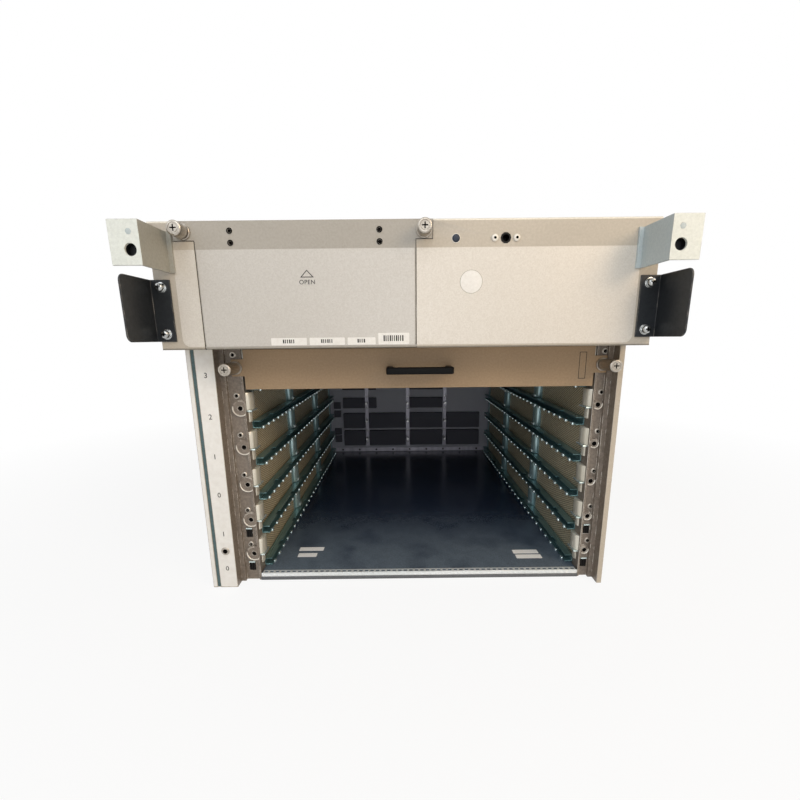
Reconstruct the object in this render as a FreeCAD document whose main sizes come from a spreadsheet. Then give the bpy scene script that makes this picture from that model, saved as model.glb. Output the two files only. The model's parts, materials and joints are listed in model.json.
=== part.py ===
import FreeCAD, Part
import math
import os
from types import SimpleNamespace

import Sketcher

# A rack-mounted ethernet router chassis with an empty card cage.
# X runs to the right, Y runs into the chassis from its front, and Z is up.
# Each body is drawn with y = 0 on the plane of the card flanges, and then placed
# so that the origin is the bottom centre of the whole chassis.

DIMENSIONS = (
    ("body_width", 446.0, "outside of one side panel to the outside of the other"),
    ("chassis_height", 379.5, "underside of the base to the top of the cover"),
    ("cage_depth", 520.0, "card flanges to the face of the backplane"),
    ("rear_space", 126.5, "face of the backplane to the outside of the rear panel"),
    ("sheet_wall", 1.5, "folded sheet of the chassis"),
    ("seat_gap", 0.3, "gap between pieces that come apart"),
    ("pin_gap", 0.15, "gap between a pin and its hole"),
    ("left_margin", 50.1, "outside of the left panel to the card opening"),
    ("right_margin", 21.8, "outside of the right panel to the card opening"),
    ("post_reach", 16.0, "front of the corner posts before the card flanges"),
    ("post_return", 14.0, "folds of the corner posts behind the card flanges"),
    ("wide_face", 27.8, "width of the left post's front face"),
    ("numbered_face", 19.5, "width of the numbered part of that face"),
    ("groove_width", 3.6, "groove beside the numbered part"),
    ("groove_depth", 0.8, "depth of that groove"),
    ("narrow_face", 5.5, "width of the right post's front face"),
    ("lip_width", 5.0, "raised lip along the outside of a card flange"),
    ("lip_rise", 4.0, "height of that lip"),
    ("bead_width", 2.0, "raised bead along the card opening"),
    ("boss_rise", 2.0, "height of the bead and of the screw bosses"),
    ("boss_radius", 9.0, "screw boss of a card slot, left post"),
    ("narrow_boss", 5.4, "screw boss of a card slot, right post"),
    ("boss_inset", 5.6, "card opening to the screw hole in a boss"),
    ("boss_hole", 2.4, "radius of that screw hole"),
    ("dowel_inset", 9.0, "card opening to the dowel holes"),
    ("dowel_radius", 1.6, "dowel hole of a card slot"),
    ("dowel_rise", 11.0, "dowel hole above the screw hole, control slots"),
    ("dowel_rise_line", 13.4, "dowel hole above the screw hole, line slots"),
    ("key_width", 7.4, "width of a keying slot"),
    ("key_height", 10.0, "height of a keying slot"),
    ("key_drop", 17.8, "keying slot below the screw hole"),
    ("first_slot", 34.3, "height of the lowest slot's screw hole"),
    ("control_pitch", 42.4, "rise from slot to slot in the control half"),
    ("line_pitch", 43.4, "rise from slot to slot in the line card half"),
    ("guide_height", 9.0, "height of a card guide"),
    ("guide_depth", 9.8, "reach of a card guide into the cage"),
    ("guide_wall", 1.2, "sheet of a card guide"),
    ("guide_pitch", 68.0, "spacing of the notches in a card guide"),
    ("notch_length", 12.0, "length of a notch in a card guide"),
    ("notch_depth", 3.0, "depth of a notch in a card guide"),
    ("upright_width", 24.0, "width of an upright of the guide frames"),
    ("frame_border", 14.0, "top and bottom borders of the guide frames"),
    ("frame_lap", 8.0, "guide frames beside the folds of the corner posts"),
    ("screen_wall", 1.0, "sheet of the air screens"),
    ("screen_slot", 56.0, "length of an air screen's slot"),
    ("screen_slit", 34.0, "height of an air screen's slot"),
    ("deck_reach", 2.0, "front of the floor deck before the card flanges"),
    ("gasket_height", 4.0, "height of the sill gasket"),
    ("gasket_wall", 1.0, "thickness of the sill gasket and the sill lip"),
    ("gasket_window", 32.0, "length of a window in the sill gasket"),
    ("pan_flange", 12.0, "height of the base pan's and the cover's flanges"),
    ("vent_length", 96.0, "height of a slot in the side panels"),
    ("vent_slit", 14.0, "width of a slot in the side panels"),
    ("exhaust_length", 30.0, "height of a slot in the rear panel"),
    ("exhaust_slit", 44.0, "width of a slot in the rear panel"),
    ("board_wall", 3.2, "thickness of the backplane"),
    ("connector_inset", 30.0, "card opening to the first connector block"),
    ("connector_gap", 9.7, "room for a guide pin between connector blocks"),
    ("power_block", 51.0, "width of the power connector block"),
    ("fabric_block", 87.0, "width of the fabric connector block"),
    ("signal_block", 78.0, "width of a signal connector block"),
    ("sense_block", 18.0, "width of the sense connector block"),
    ("connector_reach", 10.0, "height of the connectors off the backplane"),
    ("connector_rise", 9.6, "middle of the connectors above the screw hole"),
    ("control_block_height", 36.0, "connector blocks of a control slot"),
    ("line_block_height", 24.0, "connector blocks of a line card slot"),
    ("guide_pin_radius", 2.5, "guide pins of the backplane"),
    ("guide_pin_reach", 22.0, "height of the guide pins off the backplane"),
    ("bezel_height", 110.0, "height of the fan bezel"),
    ("bezel_reach", 51.5, "front of the fan bezel before the card flanges"),
    ("hood_lap", 16.0, "overlap of the bezel on the side panels"),
    ("hood_sill", 4.0, "bezel's bottom wall behind the card flanges"),
    ("roof_lap", 10.0, "cage roof's lap on the bezel's bottom wall"),
    ("door_width", 193.6, "width of the fan door"),
    ("door_shift", 87.8, "middle of the fan door to the left of the chassis middle"),
    ("door_gap", 0.6, "gap round the fan door"),
    ("door_return", 9.0, "depth of the fan door's side folds"),
    ("tab_left", 18.4, "width of the door's left screw tab"),
    ("tab_right", 14.8, "width of the door's right screw tab"),
    ("tab_height", 16.0, "height of the door's screw tabs"),
    ("screw_drop", 9.0, "top of the door to its screws"),
    ("roll_radius", 2.2, "rolled edge at the foot of the fan door"),
    ("hinge_pin_radius", 1.2, "hinge pin of the fan door"),
    ("cheek_depth", 13.0, "depth of the cheeks that hold the hinge pin"),
    ("cheek_height", 24.0, "height of the cheeks that hold the hinge pin"),
    ("nut_plate_width", 14.0, "width of the plates that the door's screws enter"),
    ("nut_plate_height", 18.0, "height of those plates"),
    ("nut_plate_wall", 3.0, "thickness of those plates"),
    ("pull_hole_inset", 31.5, "side of the door to its pull's screw holes"),
    ("pull_hole_drop", 8.3, "top of the door to its pull's upper screw holes"),
    ("pull_hole_pitch", 9.8, "spacing of a pair of the pull's screw holes"),
    ("pull_hole_radius", 1.8, "pull's screw holes"),
    ("knob_radius", 6.2, "head of a captive screw"),
    ("knob_length", 13.0, "length of that head"),
    ("collar_radius", 7.0, "collar of a captive screw"),
    ("collar_length", 2.6, "length of that collar"),
    ("shank_radius", 2.0, "shank of a captive screw"),
    ("shank_reach", 7.0, "shank of a captive screw behind its collar"),
    ("screw_hole", 2.7, "hole for the shank of a captive screw"),
    ("neck_depth", 1.4, "depth of the neck between the head and the collar"),
    ("filler_bottom", 226.4, "height of the slot filler's bottom edge"),
    ("filler_gap", 2.8, "gap beside the slot filler"),
    ("filler_ear", 10.5, "reach of the slot filler's ears over the card flanges"),
    ("filler_ear_height", 18.0, "height of the slot filler's ears"),
    ("filler_return", 40.0, "depth of the slot filler's folds"),
    ("filler_clear", 12.0, "slot filler's folds inside the card opening"),
    ("filler_knob_length", 26.0, "head of a captive screw of the slot filler"),
    ("pull_width", 68.0, "width of the slot filler's pull"),
    ("pull_height", 7.0, "height of the slot filler's pull"),
    ("pull_reach", 24.0, "reach of the slot filler's pull"),
    ("pull_bar", 7.0, "thickness of the slot filler's pull"),
    ("pull_drop", 3.3, "middle of the pull below the slot's screw holes"),
    ("pull_round", 3.0, "rounding of the slot filler's pull"),
    ("bracket_spread", 209.7, "middle of the chassis to the outside of a front bracket's plate"),
    ("bracket_wall", 2.0, "sheet of the front brackets"),
    ("bracket_reach", 41.0, "front of the front brackets before the bezel"),
    ("bracket_height", 34.0, "height of the front brackets"),
    ("bracket_drop", 9.0, "top of the chassis to the top of the front brackets"),
    ("bracket_foot", 6.0, "width of a front bracket's foot on the bezel"),
    ("bracket_flange", 22.0, "width of a front bracket's flange beside its plate"),
    ("bracket_hole", 4.8, "radius of the front brackets' screw holes"),
    ("bracket_hole_inset", 6.0, "a front bracket's plate to its screw hole"),
    ("bracket_hole_drop", 22.3, "top of a front bracket to its screw hole"),
    ("clip_hole", 2.5, "radius of the front brackets' clip holes"),
    ("clip_hole_drop", 9.0, "top of a front bracket to its clip hole"),
    ("guard_reach", 42.5, "front of the side guards before the bezel"),
    ("guard_wall", 1.5, "sheet of the side guards"),
    ("guard_inset", 13.0, "side guard's foot inside the body width"),
    ("guard_spread", 5.5, "side guards outside the body width"),
    ("guard_bottom", 7.5, "side guards above the bezel's bottom edge"),
    ("guard_height", 54.0, "height of the side guards"),
    ("guard_round", 6.0, "rounded corners of the side guards"),
    ("guard_screw_inset", 5.2, "side guard's screws inside the body width"),
    ("guard_screw_margin", 6.5, "side guard's screws from its ends"),
    ("guard_screw_head", 3.8, "radius of the side guards' screw heads"),
    ("guard_screw_rise", 6.0, "height of the side guards' screw heads"),
    ("guard_screw_shank", 1.8, "radius of the side guards' screws"),
    ("guard_screw_reach", 7.0, "side guards' screws behind their heads"),
    ("lamp_radius", 2.6, "status lamp's lens"),
    ("lamp_rise", 1.2, "status lamp's lens before the bezel"),
    ("lamp_collar", 4.2, "collar behind the status lamp's lens"),
    ("lamp_offset", 35.4, "status lamp to the right of the fan door"),
    ("socket_radius", 4.6, "alarm socket's barrel"),
    ("socket_bore", 3.2, "alarm socket's bore"),
    ("socket_depth", 12.0, "depth of the alarm socket"),
    ("socket_flange", 13.0, "half width of the alarm socket's flange"),
    ("socket_offset", 79.1, "alarm socket to the right of the fan door"),
    ("fitting_drop", 16.4, "top of the chassis to the lamp and the socket"),
    ("socket_screw_pitch", 19.2, "spacing of the alarm socket's screws"),
    ("socket_screw_radius", 1.5, "alarm socket's screws"),
    ("socket_screw_head", 2.7, "radius of the alarm socket's screw heads"),
    ("socket_screw_rise", 1.5, "height of the alarm socket's screw heads"),
    ("jack_radius", 2.9, "grounding jack's barrel"),
    ("jack_bore", 1.9, "grounding jack's bore"),
    ("jack_flange", 4.6, "grounding jack's flange"),
    ("jack_height", 45.6, "height of the grounding jack"),
    ("jack_depth", 9.0, "depth of the grounding jack"),
    ("tray_setback", 13.5, "fan trays behind the face of the bezel"),
    ("tray_length", 520.0, "length of a fan tray"),
    ("tray_side", 45.0, "height of a fan tray's sides"),
    ("tray_front", 96.0, "height of a fan tray's front"),
    ("tray_clear", 2.0, "fan trays inside the fan door's width"),
    ("tray_grip", 44.0, "width of the finger hole in a fan tray's front"),
    ("tray_grip_height", 15.0, "height of that finger hole"),
    ("tray_grip_drop", 22.5, "top of a fan tray's front to the middle of that hole"),
    ("fan_start", 82.0, "front of a fan tray to its first fan"),
    ("fan_pitch", 165.0, "spacing of the fans in a tray"),
    ("fan_bore", 42.0, "radius of the air opening under a fan"),
    ("spider_arm", 6.0, "width of the arms under a fan"),
    ("fan_shaft", 3.0, "radius of a fan's shaft"),
    ("shaft_rise", 24.0, "height of a fan's shaft above the tray's floor"),
    ("hub_radius", 17.0, "hub of a fan rotor"),
    ("hub_height", 22.0, "height of a fan rotor's hub"),
    ("blade_reach", 39.0, "radius of a fan rotor's blades"),
    ("blade_chord", 22.0, "width of a blade"),
    ("blade_wall", 1.6, "thickness of a blade"),
)

CONTROL_SLOTS = 2
LINE_SLOTS = 4
BAYS = 3
GUIDE_NOTCHES = 7
SCREEN_COLUMNS = 6
SCREEN_ROWS = 5
GASKET_WINDOWS = 8
VENT_COLUMNS = 8
VENT_ROWS = 2
EXHAUST_COLUMNS = 6
EXHAUST_ROWS = 2
FANS_PER_TRAY = 3
BLADES = 5
BLADE_SLANT = math.radians(35)
SMALL_SIDES = 6
ROUND_SIDES = 10
OPENING_SIDES = 12
BOSS_STEPS = 6
TINY = 1e-6

LEFT = -1
RIGHT = 1
SIDE_NAME = {LEFT: "left", RIGHT: "right"}


class Size:
    """A length of the chassis: its value now and the sheet expression behind it."""

    def __init__(self, value, text):
        self.value = value
        self.text = text

    @staticmethod
    def of(length):
        if isinstance(length, Size):
            return length
        return Size(float(length), f"({float(length)!r})")

    def __add__(self, other):
        other = Size.of(other)
        return Size(self.value + other.value, f"({self.text} + {other.text})")

    def __radd__(self, other):
        return Size.of(other) + self

    def __sub__(self, other):
        other = Size.of(other)
        return Size(self.value - other.value, f"({self.text} - {other.text})")

    def __rsub__(self, other):
        return Size.of(other) - self

    def __mul__(self, factor):
        return Size(self.value * factor, f"({self.text} * ({float(factor)!r}))")

    __rmul__ = __mul__

    def __truediv__(self, divisor):
        return Size(self.value / divisor, f"({self.text} / ({float(divisor)!r}))")

    def __neg__(self):
        return self * -1


doc = FreeCAD.newDocument("router_chassis")
sheet = doc.addObject("Spreadsheet::Sheet", "Sizes")
for row, (alias, length, meaning) in enumerate(DIMENSIONS, start=1):
    sheet.set(f"A{row}", meaning)
    sheet.set(f"B{row}", str(length))
    sheet.setAlias(f"B{row}", alias)
doc.recompute()
d = SimpleNamespace(**{alias: Size(length, f"Sizes.{alias}") for alias, length, _ in DIMENSIONS})
nodes = []

# Places that several pieces share
wall = d.sheet_wall
half = d.body_width / 2
cage_left = d.left_margin - half
cage_right = half - d.right_margin
rear_face = d.cage_depth + d.rear_space
rear_inside = rear_face - wall
top_inside = d.chassis_height - wall
flange_plane = (d.bezel_reach + d.guard_reach - rear_face) / 2
bezel_face = -d.bezel_reach
bezel_back = bezel_face + wall
bezel_bottom = d.chassis_height - d.bezel_height
roof_bottom = bezel_bottom + wall
roof_top = roof_bottom + wall
hood_side = half + wall
hood_back = d.post_return + d.hood_lap
door_left = -d.door_shift - d.door_width / 2
door_right = door_left + d.door_width
door_top = d.chassis_height - d.seat_gap
door_screw_z = door_top - d.screw_drop
hinge_y = bezel_face + d.roll_radius
hinge_z = bezel_bottom + d.roll_radius
fitting_z = d.chassis_height - d.fitting_drop
lamp_x = door_right + d.lamp_offset
socket_x = door_right + d.socket_offset
frame_start = d.post_return - d.frame_lap
bay_pitch = d.cage_depth / BAYS
deck_top = d.first_slot - d.control_pitch / 2 - d.guide_height / 2 - d.seat_gap
slot_centres = [d.first_slot + d.control_pitch * level for level in range(CONTROL_SLOTS + 1)]
slot_centres += [slot_centres[CONTROL_SLOTS] + d.line_pitch * level for level in range(1, LINE_SLOTS)]
slot_pitches = [d.control_pitch] * (CONTROL_SLOTS + 1) + [d.line_pitch] * (LINE_SLOTS - 1)
slot_floors = [centre - pitch / 2 for centre, pitch in zip(slot_centres, slot_pitches)]
slot_names = [f"control_{level}" for level in range(CONTROL_SLOTS)]
slot_names += [f"line_{level}" for level in range(LINE_SLOTS)]
filler_centre = slot_centres[-1]
filler_back = -d.boss_rise - d.seat_gap
filler_face = filler_back - wall


def opening_edge(side):
    """The edge of the card opening on one side."""
    return cage_left if side == LEFT else cage_right


def bind(item, name, length):
    """Tie a property to the sheet."""
    item.setExpression(name, Size.of(length).text)


def new_body(label, x=0, z=0):
    """A piece of the chassis, drawn from the flange plane and placed in the chassis."""
    body = doc.addObject("PartDesign::Body", label)
    body.Label = label
    bind(body, "Placement.Base.x", x)
    bind(body, "Placement.Base.y", flange_plane)
    bind(body, "Placement.Base.z", z)
    nodes.append(body)
    return body


def origin(body, role):
    """An origin plane or axis of a body."""
    return next(item for item in body.Origin.OriginFeatures if item.Role == role)


def new_sketch(body, plane, start, outlines):
    """Closed outlines on a plane at the height start along the plane's third axis."""
    sketch = body.newObject("Sketcher::SketchObject", "outline")
    sketch.AttachmentSupport = [(origin(body, f"{plane}_Plane"), "")]
    sketch.MapMode = "FlatFace"
    start = Size.of(start)
    bind(sketch, "AttachmentOffset.Base.z", -start if plane == "XZ" else start)
    for draw in outlines:
        draw(sketch)
    return sketch


def pin_point(sketch, geometry, point, x, y):
    """Hold one point of a sketch at x, y."""
    for kind, length in (("DistanceX", Size.of(x)), ("DistanceY", Size.of(y))):
        held = Sketcher.Constraint(kind, -1, 1, geometry, point, length.value)
        index = sketch.addConstraint(held)
        bind(sketch, f"Constraints[{index}]", length)


def polygon(*corners):
    """A closed outline of straight edges."""

    def draw(sketch):
        first = sketch.GeometryCount
        points = [FreeCAD.Vector(Size.of(x).value, Size.of(y).value, 0) for x, y in corners]
        for here, there in zip(points, points[1:] + points[:1]):
            sketch.addGeometry(Part.LineSegment(here, there), False)
        count = len(corners)
        for index, (x, y) in enumerate(corners):
            following = first + (index + 1) % count
            sketch.addConstraint(Sketcher.Constraint("Coincident", first + index, 2, following, 1))
            pin_point(sketch, first + index, 1, x, y)

    return draw


def rectangle(x_low, y_low, x_high, y_high):
    """A rectangle between two corners."""
    return polygon((x_low, y_low), (x_high, y_low), (x_high, y_high), (x_low, y_high))


def block(x, y, width, height):
    """A rectangle about its centre."""
    return rectangle(x - width / 2, y - height / 2, x + width / 2, y + height / 2)


def circle(x, y, radius):
    """A full circle."""

    def draw(sketch):
        centre = FreeCAD.Vector(Size.of(x).value, Size.of(y).value, 0)
        upward = FreeCAD.Vector(0, 0, 1)
        index = sketch.addGeometry(Part.Circle(centre, upward, radius.value), False)
        pin_point(sketch, index, 3, x, y)
        held = sketch.addConstraint(Sketcher.Constraint("Radius", index, radius.value))
        bind(sketch, f"Constraints[{held}]", radius)

    return draw


def facets(x, y, radius, sides=SMALL_SIDES):
    """A regular outline with a few sides, for small holes and what fills them."""
    turns = [2 * math.pi * index / sides for index in range(sides)]
    return polygon(*((x + radius * math.cos(turn), y + radius * math.sin(turn)) for turn in turns))


def half_round(x, y, radius, edge, side):
    """A tab that is half round about x, y, with straight flanks to an upright edge."""
    turns = [math.pi / 2 + math.pi * step / BOSS_STEPS for step in range(BOSS_STEPS + 1)]
    rim = [(x - radius * (side * math.cos(turn)), y + radius * math.sin(turn)) for turn in turns]
    return polygon((edge, y + radius), *rim, (edge, y - radius))


def bent_sheet(points, thickness, turn):
    """The section of a folded sheet: one face as a path, and the other behind it.

    Args:
        points: corners of the first face, joined by runs along the two axes.
        thickness: thickness of the sheet.
        turn: 1 if the sheet lies to the left of the path, -1 if to the right.
    """
    runs = []
    for (x0, y0), (x1, y1) in zip(points, points[1:]):
        along_x = Size.of(x1).value - Size.of(x0).value
        along_y = Size.of(y1).value - Size.of(y0).value
        sign_x = (along_x > TINY) - (along_x < -TINY)
        sign_y = (along_y > TINY) - (along_y < -TINY)
        runs.append((-sign_y * turn, sign_x * turn))
    behind = []
    for index, (x, y) in enumerate(points):
        beside = {runs[max(index - 1, 0)], runs[min(index, len(runs) - 1)]}
        push_x = sum(run[0] for run in beside)
        push_y = sum(run[1] for run in beside)
        behind.append((x + thickness * push_x, y + thickness * push_y))
    return polygon(*points, *reversed(behind))


def extrude(body, plane, start, end, *outlines):
    """Add the outlines' prism between two heights along the plane's third axis."""
    feature = body.newObject("PartDesign::Pad", "pad")
    feature.Profile = new_sketch(body, plane, start, outlines)
    bind(feature, "Length", Size.of(end) - start)
    feature.Reversed = plane == "XZ"
    return feature


def cut(body, plane, start, end, *outlines):
    """Take away the outlines' prism between two heights along the plane's third axis."""
    feature = body.newObject("PartDesign::Pocket", "cut")
    feature.Profile = new_sketch(body, plane, start, outlines)
    bind(feature, "Length", Size.of(end) - start)
    feature.Reversed = plane != "XZ"
    return feature


def repeat(body, features, axis, pitch, count):
    """Copy features along an axis."""
    pattern = body.newObject("PartDesign::LinearPattern", "row")
    pattern.Originals = features
    pattern.Direction = (origin(body, f"{axis}_Axis"), [""])
    bind(pattern, "Length", pitch * (count - 1))
    pattern.Occurrences = count
    body.Tip = pattern
    return pattern


def repeat_grid(body, feature, first, second):
    """Copy a feature along two axes, each given as its name, pitch and count."""
    pattern = repeat(body, [feature], *first)
    axis, pitch, count = second
    pattern.Direction2 = (origin(body, f"{axis}_Axis"), [""])
    bind(pattern, "Length2", pitch * (count - 1))
    pattern.Occurrences2 = count
    return pattern


def round_edges(body, radius, wanted):
    """Round the edges whose middle passes a test."""
    doc.recompute()
    base = body.Tip
    edges = enumerate(base.Shape.Edges, start=1)
    names = [f"Edge{index}" for index, edge in edges if wanted(edge)]
    fillet = body.newObject("PartDesign::Fillet", "rounding")
    fillet.Base = (base, names)
    bind(fillet, "Radius", radius)
    return fillet


def make_base_pan():
    """The bottom pan, with a tongue between the corner posts that ends in the sill lip."""
    body = new_body("base_pan")
    lip_front = -d.deck_reach - d.gasket_wall
    outline = polygon(
        (wall - half, d.post_return),
        (cage_left, d.post_return),
        (cage_left, lip_front),
        (cage_right, lip_front),
        (cage_right, d.post_return),
        (half - wall, d.post_return),
        (half - wall, rear_inside),
        (wall - half, rear_inside),
    )
    extrude(body, "XY", 0, wall, outline)
    lip_top = deck_top - d.gasket_height
    extrude(body, "XY", wall, lip_top, rectangle(cage_left, lip_front, cage_right, -d.deck_reach))
    for inner, outer in ((2 * wall - half, wall - half), (half - 2 * wall, half - wall)):
        extrude(body, "XY", wall, d.pan_flange, rectangle(inner, d.post_return, outer, rear_inside))


def make_side_panel(side):
    """An outer side panel with its field of upright air slots."""
    body = new_body(f"side_panel_{SIDE_NAME[side]}")
    low = -half if side == LEFT else half - wall
    extrude(body, "YZ", low, low + wall, rectangle(d.post_return, 0, rear_face, top_inside))
    pitch_y = (d.cage_depth - d.upright_width) / VENT_COLUMNS
    pitch_z = bezel_bottom / VENT_ROWS
    first_y = d.post_return + d.upright_width + pitch_y / 2
    slot = cut(body, "YZ", low, low + wall, block(first_y, pitch_z / 2, d.vent_slit, d.vent_length))
    repeat_grid(body, slot, ("Y", pitch_y, VENT_COLUMNS), ("Z", pitch_z, VENT_ROWS))


def make_top_cover():
    """The cover over the chassis behind the bezel, folded down inside the side panels."""
    body = new_body("top_cover")
    section = bent_sheet(
        [
            (wall - half, top_inside - d.pan_flange),
            (wall - half, d.chassis_height),
            (half - wall, d.chassis_height),
            (half - wall, top_inside - d.pan_flange),
        ],
        wall,
        -1,
    )
    extrude(body, "XZ", hood_back, rear_inside, section)
    extrude(body, "XZ", hood_back, rear_face, rectangle(-half, top_inside, half, d.chassis_height))


def make_rear_panel():
    """The rear panel with the exhaust slots of the fan bay."""
    body = new_body("rear_panel")
    extrude(body, "XZ", rear_inside, rear_face, rectangle(wall - half, 0, half - wall, top_inside))
    pitch_x = (d.body_width - d.frame_border * 2) / EXHAUST_COLUMNS
    pitch_z = (d.bezel_height - d.frame_border) / EXHAUST_ROWS
    slot = cut(
        body,
        "XZ",
        rear_inside,
        rear_face,
        block(
            d.frame_border - half + pitch_x / 2,
            roof_top + pitch_z / 2,
            d.exhaust_slit,
            d.exhaust_length,
        ),
    )
    repeat_grid(body, slot, ("X", pitch_x, EXHAUST_COLUMNS), ("Z", pitch_z, EXHAUST_ROWS))


tray_pitch = (d.door_width - d.tray_clear * 2 + d.seat_gap * 2) / 2
tray_width = tray_pitch - d.seat_gap * 2
tray_middles = [door_left + d.tray_clear + tray_width / 2 + tray_pitch * index for index in range(2)]
tray_face = bezel_face + d.tray_setback
first_fan_y = tray_face + d.fan_start


def make_cage_roof():
    """The sheet between the card cage and the fan bay, open under each fan."""
    body = new_body("cage_roof")
    sheet_outline = rectangle(wall - half, -d.roof_lap, half - wall, rear_inside)
    extrude(body, "XY", roof_bottom, roof_top, sheet_outline)
    air_way = block(tray_middles[0], first_fan_y, d.fan_bore * 2, d.fan_bore * 2)
    hole = cut(body, "XY", roof_bottom, roof_top, air_way)
    repeat_grid(body, hole, ("Y", d.fan_pitch, FANS_PER_TRAY), ("X", tray_pitch, 2))


def make_floor_deck():
    """The floor of the card cage, folded down at its front and rear to stand on the pan."""
    body = new_body("floor_deck")
    section = bent_sheet(
        [
            (-d.deck_reach, wall),
            (-d.deck_reach, deck_top),
            (d.cage_depth, deck_top),
            (d.cage_depth, wall),
        ],
        wall,
        -1,
    )
    extrude(body, "YZ", cage_left + d.seat_gap, cage_right - d.seat_gap, section)


def make_sill_gasket():
    """The spring gasket along the front edge of the floor deck, with its row of windows."""
    body = new_body("sill_gasket")
    low = deck_top - d.gasket_height
    front = -d.deck_reach - d.gasket_wall
    left_end = cage_left + d.bead_width
    right_end = cage_right - d.bead_width
    extrude(body, "XZ", front, -d.deck_reach, rectangle(left_end, low, right_end, deck_top))
    pitch = (right_end - left_end) / GASKET_WINDOWS
    middle = low + d.gasket_height / 2
    window = cut(
        body,
        "XZ",
        front,
        -d.deck_reach,
        block(left_end + pitch / 2, middle, d.gasket_window, d.gasket_height / 2),
    )
    repeat(body, [window], "X", pitch, GASKET_WINDOWS)


def make_front_post(side):
    """A corner post: its front face, the lip, the recessed card flange and its bosses."""
    body = new_body(f"front_post_{SIDE_NAME[side]}")
    edge = opening_edge(side)
    outer = half * side
    face = outer - (d.wide_face if side == LEFT else d.narrow_face) * side
    lip_end = face - d.lip_width * side
    section = bent_sheet(
        [
            (outer, d.post_return),
            (outer, -d.post_reach),
            (face, -d.post_reach),
            (face, -d.lip_rise),
            (lip_end, -d.lip_rise),
            (lip_end, Size.of(0)),
            (edge, Size.of(0)),
            (edge, d.post_return),
        ],
        wall,
        -side,
    )
    extrude(body, "XY", 0, bezel_bottom, section)
    bead = sorted((edge, edge + d.bead_width * side), key=lambda place: place.value)
    extrude(body, "XY", 0, bezel_bottom, rectangle(bead[0], -d.boss_rise, bead[1], wall))

    boss_radius = d.boss_radius if side == LEFT else d.narrow_boss
    hole_x = edge + d.boss_inset * side
    dowel_x = edge + d.dowel_inset * side
    levels = (
        (slot_centres[0], d.control_pitch, CONTROL_SLOTS + 1, d.dowel_rise),
        (slot_centres[CONTROL_SLOTS + 1], d.line_pitch, LINE_SLOTS - 1, d.dowel_rise_line),
    )
    for centre, pitch, count, dowel_rise in levels:
        boss = extrude(body, "XZ", -d.boss_rise, 0, half_round(hole_x, centre, boss_radius, edge, side))
        repeat(body, [boss], "Z", pitch, count)
        hole = cut(body, "XZ", -d.boss_rise, wall, facets(hole_x, centre, d.boss_hole, ROUND_SIDES))
        repeat(body, [hole], "Z", pitch, count)
        dowel = cut(body, "XZ", -d.lip_rise, wall, facets(dowel_x, centre + dowel_rise, d.dowel_radius))
        repeat(body, [dowel], "Z", pitch, count)
    key_x = (edge + d.bead_width * side + lip_end) / 2
    key_slot = block(key_x, slot_centres[0] - d.key_drop, d.key_width, d.key_height)
    key = cut(body, "XZ", -d.lip_rise, wall, key_slot)
    repeat(body, [key], "Z", d.control_pitch, CONTROL_SLOTS)
    if side == LEFT:
        groove_end = face - d.numbered_face
        groove_floor = d.groove_depth - d.post_reach
        groove = rectangle(groove_end - d.groove_width, -d.post_reach, groove_end, groove_floor)
        cut(body, "XY", 0, bezel_bottom, groove)
        jack_x = face - d.numbered_face / 2
        jack_hole = facets(jack_x, d.jack_height, d.jack_radius + d.pin_gap, ROUND_SIDES)
        cut(body, "XZ", -d.post_reach, wall - d.post_reach, jack_hole)


def make_ground_jack():
    """The grounding jack in the left post's numbered face."""
    body = new_body("ground_jack", x=d.wide_face - d.numbered_face / 2 - half, z=d.jack_height)
    face = -d.post_reach
    bore = facets(0, 0, d.jack_bore, ROUND_SIDES)
    extrude(body, "XZ", face - d.gasket_wall, face, facets(0, 0, d.jack_flange, ROUND_SIDES), bore)
    extrude(body, "XZ", face, face + d.jack_depth, facets(0, 0, d.jack_radius, ROUND_SIDES), bore)


def cage_wall(side, depth, thickness):
    """The two heights along X of a sheet behind the card opening's edge."""
    near = opening_edge(side) + depth * side
    far = near + thickness * side
    return (far, near) if side == LEFT else (near, far)


def make_guide_frame(side):
    """The inner frame of uprights that carries the card guides of one side."""
    body = new_body(f"guide_frame_{SIDE_NAME[side]}")
    low, high = cage_wall(side, wall, wall)
    extrude(body, "YZ", low, high, rectangle(frame_start, wall, d.cage_depth, roof_bottom))
    window = cut(
        body,
        "YZ",
        low,
        high,
        rectangle(
            d.upright_width / 2,
            wall + d.frame_border,
            bay_pitch - d.upright_width / 2,
            roof_bottom - d.frame_border,
        ),
    )
    repeat(body, [window], "Y", bay_pitch, BAYS)


def make_air_screen(side):
    """The slotted air screen behind one guide frame."""
    body = new_body(f"air_screen_{SIDE_NAME[side]}")
    low, high = cage_wall(side, wall * 2, d.screen_wall)
    extrude(body, "YZ", low, high, rectangle(frame_start, wall, d.cage_depth, roof_bottom))
    pitch_y = d.cage_depth / SCREEN_COLUMNS
    pitch_z = (roof_bottom - wall) / SCREEN_ROWS
    first = block(pitch_y / 2, wall + pitch_z / 2, d.screen_slot, d.screen_slit)
    slot = cut(body, "YZ", low, high, first)
    repeat_grid(body, slot, ("Y", pitch_y, SCREEN_COLUMNS), ("Z", pitch_z, SCREEN_ROWS))


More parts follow.
